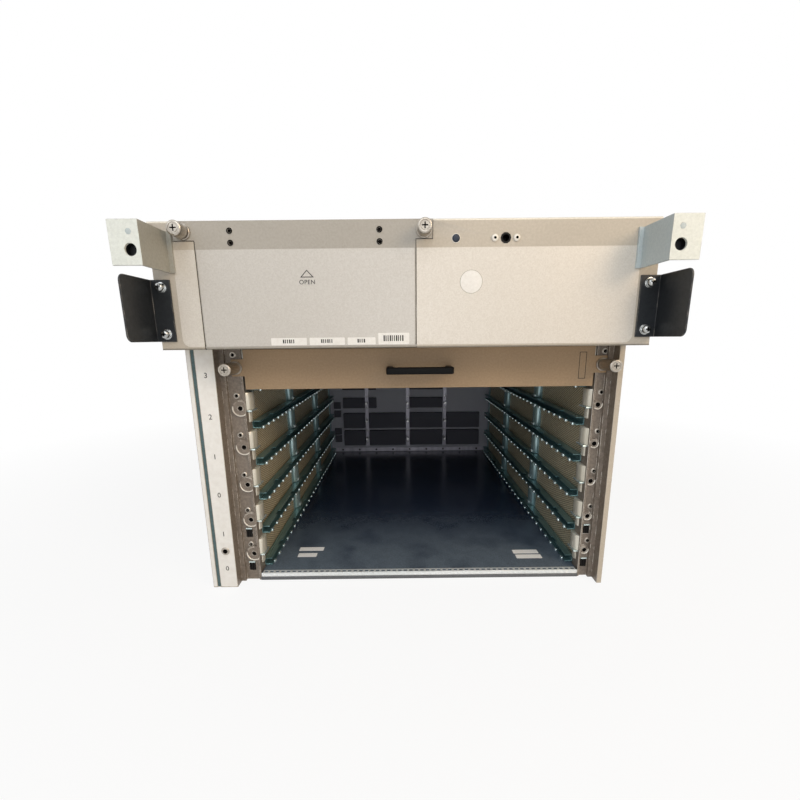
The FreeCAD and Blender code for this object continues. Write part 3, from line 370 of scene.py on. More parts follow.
@dataclass(frozen=True)
class PearlFilm(Finish):
    """A printed polyester film with a pearl pigment: tiny flakes that catch the light one by one.

    Args:
        sheen: How much the flakes differ in roughness.
        metallic: How much of a metal the flakes look.
    """

    sheen: float = 0.08
    metallic: float = 0.15

    def weave(self, tree: NodeTree, shader: Node, place: NodeSocket) -> None:
        """Flakes as small cells of their own brightness, drawn coarse enough to show.

        Args:
            tree: The node tree.
            shader: Its shader node.
            place: The Object coordinates.
        """
        cells = {"Vector": place, "Scale": per_mm(self.grain_mm)}
        flake = add_node(tree, "ShaderNodeTexVoronoi", cells, "Color")
        gloss = (self.rough - self.sheen, self.rough + self.sheen)
        relief = {"Height": flake, "Strength": 0.2, "Distance": 0.03 * MM}
        feed(tree, shader, {
            "Base Color": blend(tree, flake, linear(self.colour), linear(self.second)),
            "Roughness": remap(tree, flake, to=gloss),
            "Normal": add_node(tree, "ShaderNodeBump", relief),
            "Metallic": self.metallic,
        })


@dataclass(frozen=True)
class PlatedMetal(Finish):
    """Plated steel, zinc or nickel: a metal gloss with drawn streaks along one axis.

    Real draw marks are finer than a tenth of a millimetre. They are drawn wider so that they show.

    Args:
        streak: The axis that the streaks follow.
        metallic: How much of a metal it looks.
        squeeze: How much the noise is stretched along the streaks, as a scale below 1.
    """

    streak: Axis = Axis.Z
    metallic: float = 1.0
    squeeze: float = 0.06

    def weave(self, tree: NodeTree, shader: Node, place: NodeSocket) -> None:
        """Noise stretched along the streaks.

        Args:
            tree: The node tree.
            shader: Its shader node.
            place: The Object coordinates.
        """
        stretch = [self.squeeze if axis is self.streak else 1.0 for axis in Axis]
        drawn = add_node(tree, "ShaderNodeMapping", {"Vector": place, "Scale": stretch})
        self.grained(tree, shader, drawn, low=0.35, high=0.65, bump=0.03)
        feed(tree, shader, {"Metallic": self.metallic})


@dataclass(frozen=True)
class PerforatedSteel(Finish):
    """Perforated sheet steel: rows of round holes set at 60 degrees, dusty between them.

    Args:
        hole: What is seen in a hole.
    """

    hole: str = "#8c7c62"

    def weave(self, tree: NodeTree, shader: Node, place: NodeSocket) -> None:
        """Two offset grids of holes make the pattern, drawn at a pitch that still shows.

        Args:
            tree: The node tree.
            shader: Its shader node.
            place: The Object coordinates.
        """
        colour = self.grained(tree, shader, place, low=0.3, high=0.7, bump=0.05)
        pitch = (0, self.grain_mm * math.sqrt(3), self.grain_mm)
        first = lattice(tree, place, pitch, 0.0)
        second = lattice(tree, place, pitch, 0.5)
        near = add_node(tree, "ShaderNodeMath", {0: first, 1: second}, operation="MINIMUM")
        web = remap(tree, near, (0.24, 0.3))
        relief = {"Height": web, "Strength": 0.8, "Distance": 0.4 * MM}
        feed(tree, shader, {
            "Base Color": blend(tree, web, linear(self.hole), colour),
            "Normal": add_node(tree, "ShaderNodeBump", relief),
            "Metallic": remap(tree, web, to=(0, 0.1)),
        })


@dataclass(frozen=True)
class DeckPaint(Finish):
    """Gloss paint on the cage floor: mirror-dark, under dust and painted light that grow to the front.

    Args:
        front: Where the dust and painted light are thickest, along Y in metres.
        fade: How far back it reaches.
        far_dust_and_light: How much of them is left there.
        stain_mm: The size of the stains and wiped places.
        dull: How much the dust adds to the roughness.
    """

    front: float = 0.0
    fade: float = 0.2
    far_dust_and_light: float = 0.06
    stain_mm: float = 45.0
    dull: float = 0.4

    def weave(self, tree: NodeTree, shader: Node, place: NodeSocket) -> None:
        """Fine and broad dust, thinner where wiped; dust and painted light grow towards the front edge.

        Args:
            tree: The node tree.
            shader: Its shader node.
            place: The Object coordinates.
        """
        fine = {"Vector": place, "Scale": per_mm(self.grain_mm), "Detail": 6.0, "Roughness": 0.7}
        speck = add_node(tree, "ShaderNodeTexNoise", fine)
        broad = {"Vector": place, "Scale": per_mm(self.stain_mm), "Detail": 4.0}
        stain = add_node(tree, "ShaderNodeTexNoise", broad)
        depth = add_node(tree, "ShaderNodeSeparateXYZ", {0: place}, "Y")
        reach, amount = (self.front, self.front + self.fade), (1, self.far_dust_and_light)
        dust_and_light_front = remap(tree, depth, reach, amount, interpolation_type="SMOOTHSTEP")
        both = add_node(tree, "ShaderNodeMath", {0: speck, 1: stain}, operation="MULTIPLY")
        dust = remap(tree, both, (0.14, 0.36), (0.3, 1))
        left = remap(tree, stain, (0.54, 0.6), (1, 0.75))
        film = add_node(tree, "ShaderNodeMath", {0: dust, 1: left}, operation="MULTIPLY")
        share = add_node(tree, "ShaderNodeMath", {0: film, 1: dust_and_light_front}, operation="MULTIPLY")
        feed(tree, shader, {
            "Base Color": blend(tree, share, linear(self.colour), linear(self.second)),
            "Roughness": remap(tree, share, to=(self.rough, self.rough + self.dull)),
        })


@dataclass(frozen=True)
class SocketPlastic(Finish):
    """Moulded connector plastic: a grid of contact holes in a matt dark block.

    Args:
        pitch: The cell of the grid along X, Y and Z in millimetres.
        hole: The painted shade in a contact hole.
        gloss: The strength of the moulding's reflection.
    """

    pitch: tuple[float, float, float] = (2.0, 0, 2.0)
    hole: str = "#050404"
    gloss: float = 0.1

    def weave(self, tree: NodeTree, shader: Node, place: NodeSocket) -> None:
        """Contact holes sunk into the moulding.

        Args:
            tree: The node tree.
            shader: Its shader node.
            place: The Object coordinates.
        """
        colour = self.grained(tree, shader, place, low=0.3, high=0.7, bump=0.03)
        web = remap(tree, lattice(tree, place, self.pitch, 0.0), (0.22, 0.3))
        relief = {"Height": web, "Strength": 0.7, "Distance": 0.5 * MM}
        feed(tree, shader, {
            "Base Color": blend(tree, web, linear(self.hole), colour),
            "Specular IOR Level": self.gloss,
            "Normal": add_node(tree, "ShaderNodeBump", relief),
        })


@dataclass(frozen=True)
class Moulded(Finish):
    """Moulded plastic, laminate, paper or ink: one tone with a fine grain.

    Such a grain is a tenth of a millimetre or less. It is drawn at 1 to 6 mm so that it shows.

    Args:
        bump: The depth of its grain in millimetres.
        coat: A clear gloss over it.
        gloss: The strength of its own reflection.
    """

    bump: float = 0.03
    coat: float = 0.0
    gloss: float = 0.4

    def weave(self, tree: NodeTree, shader: Node, place: NodeSocket) -> None:
        """Grain alone, under a coat if there is one."""
        self.grained(tree, shader, place, low=0.35, high=0.7, bump=self.bump)
        feed(tree, shader, {"Coat Weight": self.coat, "Specular IOR Level": self.gloss})


# Powder coat: warm grey, matt and faintly flecked, worn at the edges.
CASE_PAINT = PowderCoat("powder_coat_case", "#bcb5a8", "#b1aa9d", 0.5, 2.2)
# The same coat as the case, painted paler and warmer: painted light from the right on the bezel.
BEZEL_PAINT = PowderCoat("powder_coat_bezel_lit_copy", "#c1b8aa", "#b8afa0", 0.5, 2.0)
# Powder coat: a shade greyer than the bezel.
DOOR_PAINT = PowderCoat("powder_coat_door", "#b0aba2", "#a8a298", 0.5, 2.0)
# Powder coat on a turned-under hem, darkened as painted shade: a dull line.
HEM_SHADE_PAINT = PowderCoat("powder_coat_shaded_hem", "#888276", "#7d776b", 0.55, 2.0, chips=0.0)
# Bracket coat: a satin mid grey.
BRACKET_PAINT = PowderCoat("powder_coat_bracket", "#a5a399", "#9a978d", 0.42, 2.0)
# The bracket coat, tinted cooler for a painted blue-grey reflection, with a harder sheen.
BRACKET_COOL_LIGHT_PAINT = PowderCoat("powder_coat_bracket_cool", "#c3cccc", "#b6c1c3", 0.36, 2.0)
# The bracket coat lightened nearly to white: painted light on the brackets' front faces.
BRACKET_FACE_LIGHT_PAINT = PowderCoat("powder_coat_bracket_face", "#e6eae3", "#daded7", 0.42, 2.0)
# Filler coat: a matt tan, darkened as painted shade under the bezel's overhang.
FILLER_PAINT_AND_SHADE = PowderCoat("powder_coat_filler_and_shade", "#a89073", "#9d8569", 0.55, 2.0, chips=0.15)
# Powder coat on the hood's top fold, lightened as a painted highlight: a bright edge.
FOLD_HIGHLIGHT_PAINT = PowderCoat("powder_coat_bright_fold", "#efeadc", "#e4decf", 0.4, 2.0, chips=0.0)
# Satin enamel: black with a soft wide highlight, rubbed to metal.
GUARD_PAINT = PowderCoat("satin_black_paint", "#292c2f", "#1f2226", 0.33, 3.0, "#848078", 0.45)
# Passivated steel: brownish and blotchy, with worn edges lightened as a painted highlight.
POST_STEEL = PowderCoat("passivated_steel_paint", "#8c8176", "#746a60", 0.36, 3.0, "#e0dacf", 0.75)
# Dark paint on the sill's front and its bead: painted shade along the foot, with a low sheen.
SILL_SHADE_PAINT = PowderCoat("sill_painted_shade", "#64676b", "#56595c", 0.4, 2.0)
# Label film: smooth, near white, slightly glossy.
STRIP_FILM = Moulded("polyester_label_strip", "#f4f2ed", "#ece9e3", 0.42, 6.0)
# Groove enamel: a matt teal line.
GROOVE_PAINT = Moulded("dark_teal_groove_paint", "#53696b", "#455a5c", 0.5, 3.0)
# Pearl film: a silky warm grey that glitters faintly.
PEARL = PearlFilm("pearl_polyester_film", "#dad4ca", "#cfc8bd", 0.42, 1.1)
# Pearl film on the door: duller and greyer.
DOOR_PEARL = PearlFilm("door_pearl_film", "#cac6bf", "#bfbab2", 0.42, 1.1)
# Zinc plate, tinted teal as a painted reflection of dark surroundings: a cool, cloudy gloss.
ZINC = PlatedMetal("zinc_plate_teal_reflection", "#b7d0d3", "#90adb2", 0.28, 14.0, Axis.Z, 0.5)
# Rolled zinc: a creamy sheen with soft streaks.
CREAM_ZINC = PlatedMetal("cream_zinc_column", "#e9e5d8", "#c3bdac", 0.28, 10.0, Axis.Z, 0.35)
# Guide zinc, tinted deep teal as a painted reflection of the dark cage: a deep gloss.
GUIDE_ZINC = PlatedMetal("zinc_guide_teal_reflection", "#8aacae", "#62888c", 0.3, 14.0, Axis.Y, 0.68)
# Spring zinc: small hard sparkles.
BRIGHT_ZINC = PlatedMetal("bright_zinc_spring", "#e6f2f1", "#c6d8d8", 0.24, 6.0, Axis.X, 0.6)
# Sill zinc: an even silver strip.
GASKET_ZINC = PlatedMetal("bright_zinc_sill", "#f6f8f8", "#e4e9e9", 0.3, 10.0, Axis.X, 0.4)
# Nickel: a warm grey metal with soft highlights.
NICKEL = PlatedMetal("nickel_plate", "#bfb8ad", "#a49c91", 0.3, 4.0, Axis.Y, 0.8)
# Pale zinc: chalky, and hardly mirroring.
PALE_ZINC = PlatedMetal("pale_zinc_screw", "#e9e4da", "#d8d2c6", 0.35, 3.0, Axis.Z, 0.2)
# Chrome: small, sharp, dark and bright reflections.
CHROME = PlatedMetal("bright_chrome_screw", "#c2c3c1", "#9fa09e", 0.2, 4.0, Axis.Z)
# Ground steel: a plain grey gloss.
PIN_STEEL = PlatedMetal("ground_pin_steel", "#b6b6b4", "#9c9c9a", 0.3, 5.0, Axis.Y)
# Black oxide: dark, with a dull rim of light.
BLACK_STEEL = PlatedMetal("black_oxide_steel", "#17181a", "#202124", 0.45, 4.0, Axis.Y, 0.5)
# Dusty perforated steel: cream, dotted with dark holes.
SCREEN = PerforatedSteel("perforated_screen_steel", "#f3ead0", "#dccbaa", 0.45, 3.0)
# Laminate: a violet grey under a thin clear gloss.
LAMINATE = Moulded("board_laminate", "#9b98b0", "#8c89a1", 0.5, 1.6, 0.05, 0.15)
# Stiffener metal: light and matt, with upright streaks.
STRIP_METAL = PlatedMetal("board_stiffener_metal", "#b9b6c0", "#a4a1ac", 0.42, 12.0, Axis.Z, 0.4)
# Connector moulding: brown-black, pitted with contact holes painted near black as shade.
CONNECTOR = SocketPlastic("connector_plastic", "#1c120c", "#140c08", 0.7, 3.0, (2.6, 0, 2.6))
# Key moulding: black with a dull gloss.
KEY_PLASTIC = Moulded("black_key_plastic", "#131110", "#1b1917", 0.45, 2.0, gloss=0.2)
# Pull moulding: a deep, finely grained black.
PULL_PLASTIC = Moulded("black_pull_plastic", "#0b0b0b", "#121212", 0.5, 1.2, 0.05, gloss=0.1)
# Rotor moulding: black with a soft sheen.
ROTOR_PLASTIC = Moulded("black_rotor_plastic", "#1c1c1e", "#242426", 0.5, 1.5)
# Smoked lens: blue-black under a thin gloss.
LENS = Moulded("smoked_lamp_lens", "#0d1727", "#122034", 0.4, 2.0, 0.0, 0.1)
# Label paper: off-white and matt.
PAPER = Moulded("label_paper", "#efede8", "#e6e3dd", 0.6, 3.0, 0.02)
# The label paper made pure white: painted light on the deck labels, which lie in shade.
LIT_LABEL_PAPER = Moulded("label_paper_painted_light", "#ffffff", "#f8f8f6", 0.6, 3.0, 0.02)
# A grey-brown rim round the sticker: painted shadow along its thick edge.
STICKER_EDGE_SHADOW = Moulded("sticker_edge_painted_shadow", "#9c9487", "#aba497", 0.7, 3.0)
# Print ink: a flat dark grey.
INK = Moulded("print_ink", "#2c2a28", "#3a3733", 0.6, 1.5, 0.01)
# Painted shade in bores, cross recesses and the door's seam: black, with no shine.
BORE_SHADE = Moulded("bore_shadow", "#070606", "#0c0a09", 0.9, 2.0, gloss=0.05)


# Work at the bench


def work_on(piece: Object) -> None:
    """Make one piece the only selected and the active one.

    Args:
        piece: The piece.
    """
    bpy.ops.object.select_all(action="DESELECT")
    piece.select_set(True)
    bpy.context.view_layer.objects.active = piece


@contextmanager
def editing(piece: Object) -> Iterator[None]:
    """Keep a piece in edit mode for the length of a with block.

    Args:
        piece: The piece.

    Yields:
        Nothing.
    """
    work_on(piece)
    bpy.ops.object.mode_set(mode="EDIT")
    yield
    bpy.ops.object.mode_set(mode="OBJECT")


def pick(piece: Object, kind: str, chosen: Callable[[bmesh.types.BMesh], Iterable]) -> None:
    """In edit mode, select some of a piece's faces or edges and nothing else.

    Args:
        piece: The piece.
        kind: FACE or EDGE.
        chosen: Gives those that are wanted.
    """
    bpy.ops.mesh.select_mode(type=kind)
    bpy.ops.mesh.select_all(action="DESELECT")
    form = bmesh.from_edit_mesh(piece.data)
    for part in chosen(form):
        part.select_set(True)
    bmesh.update_edit_mesh(piece.data)


def pick_faces(piece: Object, test: FaceTest) -> None:
    """Select the faces whose centre and normal pass a test."""
    pick(piece, "FACE", lambda form: (
        face for face in form.faces if test(face.calc_center_median(), face.normal)
    ))


def pick_edges(piece: Object, test: EdgeTest) -> None:
    """Select the edges whose two ends pass a test."""
    pick(piece, "EDGE", lambda form: (
        edge for edge in form.edges if test(edge.verts[0].co, edge.verts[1].co)
    ))


def with_modifier(piece: Object, kind: str, **settings: object) -> None:
    """Add a modifier to a piece and apply it.

    Args:
        piece: The piece.
        kind: The modifier's type.
        settings: Its properties.
    """
    work_on(piece)
    modifier = piece.modifiers.new(kind.lower(), kind)
    for name, value in settings.items():
        setattr(modifier, name, value)
    bpy.ops.object.modifier_apply(modifier=modifier.name)


def smooth(piece: Object) -> None:
    """Shade a piece smooth across its gentle edges."""
    work_on(piece)
    bpy.ops.object.shade_smooth_by_angle(angle=EDGE_ANGLE)


def stand(piece: Object, facing: Facing, at: Point) -> None:
    """Turn a piece, move it to its place, and put both into its mesh.

    Args:
        piece: A piece modelled about its own origin.
        facing: Where its own +Z looks.
        at: The place of its origin.
    """
    work_on(piece)
    piece.rotation_euler = facing.angles
    piece.location = at
    bpy.ops.object.transform_apply()


def block(name: str, low: Point, high: Point, chamfer: float = 0.0) -> Object:
    """A block between two corners, with its edges broken.

    Args:
        name: The piece's name.
        low: Its lowest corner.
        high: Its highest corner.
        chamfer: How far its edges are broken.

    Returns:
        The piece, with its place in its mesh.
    """
    bpy.ops.object.select_all(action="DESELECT")
    low, high = Vector(low), Vector(high)
    bpy.ops.mesh.primitive_cube_add(size=1, location=(low + high) / 2)
    piece = bpy.context.object
    piece.name = name
    piece.scale = high - low
    bpy.ops.object.transform_apply()
    if chamfer:
        with_modifier(piece, "BEVEL", width=chamfer, segments=2, limit_method="ANGLE")
    return piece


def round_corners(piece: Object, along: Axis, radius: float, test: EdgeTest | None = None) -> None:
    """Round those corners of a block that run along an axis.

    Args:
        piece: The block.
        along: The axis.
        radius: The corners' radius.
        test: Which of them, or all.
    """
    others = [axis.value for axis in Axis if axis is not along]

    def corner(start: Vector, end: Vector) -> bool:
        """Whether an edge runs along the axis and is wanted."""
        straight = all(abs(start[axis] - end[axis]) < MERGE for axis in others)
        return straight and (test is None or test(start, end))

    with editing(piece):
        pick_edges(piece, corner)
        bpy.ops.mesh.bevel(offset=radius, segments=CORNER_STEPS, affect="EDGES")


def turned(name: str, profile: Profile, sides: int) -> Object:
    """A turned piece about +Z: a disc that is extruded and scaled from step to step.

    Args:
        name: The piece's name.
        profile: The steps as height and radius, in millimetres.
        sides: How many sides the rounds have.

    Returns:
        The piece, at the origin.
    """
    bpy.ops.object.select_all(action="DESELECT")
    (height, radius), *steps = profile
    start = (0, 0, height * MM)
    bpy.ops.mesh.primitive_circle_add(vertices=sides, radius=radius * MM, fill_type="NGON", location=start)
    piece = bpy.context.object
    piece.name = name
    bpy.ops.object.transform_apply()
    with editing(piece):
        for next_height, next_radius in steps:
            rise = (0, 0, (next_height - height) * MM)
            bpy.ops.mesh.extrude_region_move(TRANSFORM_OT_translate={"value": rise})
            ratio = next_radius / radius
            bpy.ops.transform.resize(value=(ratio, ratio, 1), center_override=(0, 0, next_height * MM))
            height, radius = next_height, next_radius
        bpy.ops.mesh.select_all(action="SELECT")
        bpy.ops.mesh.remove_doubles(threshold=MERGE / 10)
        bpy.ops.mesh.normals_make_consistent(inside=False)
    smooth(piece)
    return piece


def front_turned(name: str, profile: Profile, sides: int, at: Point = ORIGIN) -> Object:
    """A turned piece that looks to the front.

    Args:
        name: The piece's name.
        profile: The steps as height and radius, in millimetres.
        sides: How many sides the rounds have.
        at: The place of its foot.

    Returns:
        The piece, with its place in its mesh.
    """
    piece = turned(name, profile, sides)
    stand(piece, Facing.FRONT, at)
    return piece


def cross_recess(piece: Object, top: float, reach: float, width: float, depth: float) -> None:
    """Cut a cross recess for a driver into a turned head, in millimetres.

    Args:
        piece: The head, about +Z.
        top: The height of its face.
        reach: The length of the cross's arms.
        width: The width of the arms.
        depth: The depth of the recess.
    """
    for across, along in ((reach, width), (width, reach)):
        low = Vector((-across / 2, -along / 2, top - depth)) * MM
        high = Vector((across / 2, along / 2, top + depth)) * MM
        cutter = block("cutter", low, high)
        with_modifier(piece, "BOOLEAN", object=cutter, operation="DIFFERENCE", solver="EXACT")
        bpy.data.objects.remove(cutter)


def twin(piece: Object, name: str, shift: Point) -> Object:
    """A copy of a piece with a mesh of its own, moved by a distance.

    Args:
        piece: The piece.
        name: The copy's name.
        shift: The distance along X, Y and Z.

    Returns:
        The copy.
    """
    copied = piece.copy()
    copied.data = piece.data.copy()
    copied.name = name
    copied.data.transform(Matrix.Translation(Vector(shift)))
    bpy.context.collection.objects.link(copied)
    return copied


def gather(name: str, pieces: Iterable[Object]) -> Object:
    """Join like pieces into one.

    Args:
        name: The name of the group.
        pieces: The pieces, which are used up.

    Returns:
        The group.
    """
    group = list(pieces)
    work_on(group[0])
    for piece in group:
        piece.select_set(True)
    if len(group) > 1:
        bpy.ops.object.join()
    group[0].name = name
    return group[0]


def at_places(piece: Object, name: str, places: Iterable[Point]) -> Object:
    """Repeat a piece that was modelled at the origin, and join the copies.

    Args:
        piece: The piece, which is used up.
        name: The name of the group.
        places: Where the copies go.

    Returns:
        The group.
    """
    copies = [twin(piece, f"{name}_{number}", place) for number, place in enumerate(places)]
    bpy.data.objects.remove(piece)
    return gather(name, copies)


def front_row(name: str, profile: Profile, sides: int, places: Iterable[Point]) -> Object:
    """Like turned pieces that look to the front, one at each place, joined."""
    return at_places(front_turned(f"{name}_pattern", profile, sides), name, places)


def lettering(name: str, text: str, height: float, at: Point) -> Object:
    """Printed letters on a face that looks to the front.

    Args:
        name: The piece's name.
        text: The letters.
        height: Their height in metres.
        at: The middle of their foot, on the face.

    Returns:
        The letters as a thin mesh.
    """
    bpy.ops.object.select_all(action="DESELECT")
    bpy.ops.object.text_add()
    piece = bpy.context.object
    piece.data.body = text
    piece.data.align_x = "CENTER"
    # A little bolder and wider than the font draws them, as stencilled print is.
    piece.data.offset = 0.006
    piece.data.space_character = 1.08
    bpy.ops.object.convert(target="MESH")
    piece = bpy.context.object
    piece.name = name
    piece.scale = [height / piece.dimensions.y] * 3
    stand(piece, Facing.FRONT, at)
    with_modifier(piece, "SOLIDIFY", thickness=PRINT_THICKNESS, offset=1.0)
    return piece


def softened(node: str, name: str, chamfer: float, segments: int = 1, fold: EdgeTest | None = None) -> Object:
    """A copy of a CAD node with whole faces and broken edges.

    Args:
        node: The node.
        name: The new piece's name.
        chamfer: How far its edges are broken.
        segments: How round the broken edges are.
        fold: Which edges are folds, with a wider round.

    Returns:
        The new piece.
    """
    piece = bpy.data.objects.new(name, frame["nodes"][node].data.copy())
    bpy.context.collection.objects.link(piece)
    work_on(piece)
    bpy.ops.mesh.customdata_custom_splitnormals_clear()
    with editing(piece):
        bpy.ops.mesh.select_all(action="SELECT")
        bpy.ops.mesh.remove_doubles(threshold=MERGE)
        bpy.ops.mesh.dissolve_limited(angle_limit=FLAT_ANGLE)
        if fold:
            pick_edges(piece, fold)
            bpy.ops.mesh.bevel(offset=FOLD_RADIUS, segments=FOLD_STEPS, affect="EDGES")
    with_modifier(
        piece, "BEVEL", width=chamfer, segments=segments, limit_method="ANGLE",
        angle_limit=EDGE_ANGLE,
    )
    smooth(piece)
    return piece


def hand_over(
    piece: Object, finish: Finish, body: str = "chassis", stands_for: Sequence[str] = ()
) -> Object:
    """Give a finished piece its finish, its body and the nodes that it stands for.

    Args:
        piece: The piece.
        finish: Its finish.
        body: The body that it moves with.
        stands_for: The CAD nodes that it replaces.

    Returns:
        The piece.
    """
    piece.data.materials.clear()
    piece.data.materials.append(finish.material())
    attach(piece, body)
    if stands_for:
        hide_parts(*stands_for)
    LOG.info("%s: %s on %s, %d faces", piece.name, finish.name, body, len(piece.data.polygons))
    return piece


def stand_in(
    node: str, name: str, chamfer: float, finish: Finish, body: str = "chassis"
) -> Object:
    """A softened copy of a CAD node, handed over in its place."""
    return hand_over(softened(node, name, chamfer), finish, body, [node])


def dress_node(node: str, finish: Finish) -> None:
    """Give a CAD node that shows as it is a better finish.

    Args:
        node: The node.
        finish: Its finish.
    """
    part = frame["nodes"][node]
    part.data.materials.clear()
    part.data.materials.append(finish.material())
    LOG.info("%s keeps its form: %s", node, finish.name)


def second_finish(piece: Object, finish: Finish, test: FaceTest) -> None:
    """Give some of a piece's faces another finish.

    Args:
        piece: The piece.
        finish: The other finish.
        test: Which faces, by their centre and normal.
    """
    piece.data.materials.append(finish.material())
    last = len(piece.data.materials) - 1
    for face in piece.data.polygons:
        if test(face.center, face.normal):
            face.material_index = last


def paint_bore_shade(piece: Object, axes: Sequence[Point], radius: float, front: float) -> None:
    """Paint shade into the insides of bores that look to the front.

    Args:
        piece: The piece with the bores.
        axes: A point on each bore's axis.
        radius: What is nearer to an axis than this is inside.
        front: What is behind this, along Y, is inside.
    """

    def inside(centre: Vector, normal: Vector) -> bool:
        """Whether a face is inside one of the bores."""
        near = min(math.hypot(centre.x - axis[0], centre.z - axis[2]) for axis in axes)
        return near < radius and centre.y > front

    second_finish(piece, BORE_SHADE, inside)


def slot_mounts() -> list[dict]:
    """The record's card slot mounts, from the bottom."""
    return [mount for mount in frame["record"]["mounts"] if mount["name"].startswith("card_slot")]


def card_flange() -> float:
    """The front of the flange that the cards are screwed to, along Y."""
    return slot_mounts()[0]["pos_m"][1]


# Sub-assemblies


@dataclass
class Case:
    """The outer case: pan, cover, rear and side panels, with their flush screws."""

    chamfer: float = 0.35 * MM
    # The screws' distance from a panel's edges, and about how far apart they are.
    screw_margin: float = 9 * MM
    screw_pitch: float = 88 * MM

    def build(self) -> None:
        """Dress each panel and put its screws in."""
        for node in ("side_panel_left", "side_panel_right", "top_cover", "rear_panel", "base_pan"):
            shell = stand_in(node, f"{node}_sheet", self.chamfer, CASE_PAINT)
            if node == "base_pan":
                # The pan's front faces take painted shade.
                second_finish(shell, SILL_SHADE_PAINT, lambda centre, normal: normal.y < FORWARDS)
        self.add_screws()

    def screw(self, facing: Facing) -> Object:
        """A flush cross-head screw, about the origin.

        Args:
            facing: Where its head looks.

        Returns:
            The screw.
        """
        head = turned("case_screw", [(-0.4, 3.0), (0.35, 3.0), (0.75, 2.5), (0.9, 1.6)], 20)
        cross_recess(head, top=0.9, reach=3.0, width=0.8, depth=0.7)
        stand(head, facing, ORIGIN)
        return head

    def spread(self, low: float, high: float) -> list[float]:
        """Places from one margin to the other, about a pitch apart.

        Args:
            low: One edge of the panel.
            high: The other edge.

        Returns:
            The places.
        """
        start = low + self.screw_margin
        length = high - self.screw_margin - start
        count = max(2, round(length / self.screw_pitch) + 1)
        return [start + length * step / (count - 1) for step in range(count)]

    def edges(self, low: float, high: float) -> Pair:
        """The two places that are a margin inside a panel's edges."""
        return low + self.screw_margin, high - self.screw_margin

    def add_screws(self) -> None:
        """Two rows of screws on each side panel, on the top cover and on the rear panel."""
        front = Extent.of("bezel_hood").high.y
        for side in Side:
            panel = Extent.of(f"side_panel_{side.word}")
            x = panel.high.x if side is Side.RIGHT else panel.low.x
            along = self.spread(front, panel.high.y)
            places = [(x, y, z) for z in self.edges(panel.low.z, panel.high.z) for y in along]
            group = at_places(self.screw(Facing[side.name]), f"side_screws_{side.word}", places)
            hand_over(group, CHROME)
        cover = Extent.of("top_cover")
        along = self.spread(front, cover.high.y)
        places = [(x, y, cover.high.z) for x in self.edges(cover.low.x, cover.high.x) for y in along]
        hand_over(at_places(self.screw(Facing.UP), "cover_screws", places), CHROME)
        rear = Extent.of("rear_panel")
        along = self.spread(rear.low.x, rear.high.x)
        places = [(x, rear.high.y, z) for z in self.edges(rear.low.z, rear.high.z) for x in along]
        hand_over(at_places(self.screw(Facing.BACK), "rear_screws", places), CHROME)


@dataclass
class CaptiveScrew:
    """A knurled captive screw: collar, neck and knob with a cross recess.

    Args:
        node: The CAD node that it stands for, which is also its body.
        panel: The front of the panel that it sits on.
    """

    node: str
    panel: float
    # From the panel to the knob, in millimetres.
    neck: float = 4.2
    knurl: float = 0.28 * MM
    knurl_edge: float = 0.12 * MM
    sides: int = 44

    def build(self) -> None:
        """Turn the screw, knurl it and cut its recess."""
        box = Extent.of(self.node)
        reach = (self.panel - box.low.y) / MM
        shank = (self.panel - box.high.y) / MM
        neck = self.neck
        profile = [
            (shank, 1.6), (shank + 0.5, 2.0), (0.1, 2.0), (0.1, 6.6), (0.4, 6.9), (2.2, 6.9), (2.6, 6.5),
            (2.7, 4.7), (neck, 4.7), (neck + 0.1, 5.8), (neck + 0.6, 6.2), (reach - 0.9, 6.2),
            (reach - 0.2, 5.6), (reach, 5.0), (reach - 0.05, 4.3), (reach - 0.5, 4.1), (reach - 0.5, 3.7),
            (reach - 0.1, 3.5),
        ]
        knob = turned(f"{self.node}_knob", profile, self.sides)
        self.cut_knurl(knob, neck + 0.6, reach - 0.9)
        cross_recess(knob, top=reach - 0.1, reach=5.4, width=1.1, depth=1.2)
        stand(knob, Facing.FRONT, (box.centre.x, self.panel, box.centre.z))
        hand_over(knob, NICKEL, self.node, [self.node])
        paint_bore_shade(knob, [box.centre], radius=3.2 * MM, front=box.low.y + 0.4 * MM)

    def cut_knurl(self, knob: Object, low: float, high: float) -> None:
        """Sink every second face of the knob's round.

        Args:
            knob: The knob, about +Z.
            low: Where the round starts, in millimetres.
            high: Where it ends.
        """
        middle = (low + high) / 2 * MM
        step = math.tau / self.sides

        def sunk(centre: Vector, normal: Vector) -> bool:
            """Whether a face of the round is one of the sunk ones."""
            turn = math.floor(math.atan2(centre.y, centre.x) / step)
            return abs(centre.z - middle) < 0.2 * MM and abs(normal.z) < 0.1 and turn % 2 == 0

        with editing(knob):
            pick_faces(knob, sunk)
            bpy.ops.mesh.inset(thickness=self.knurl_edge, depth=-self.knurl, use_individual=True)


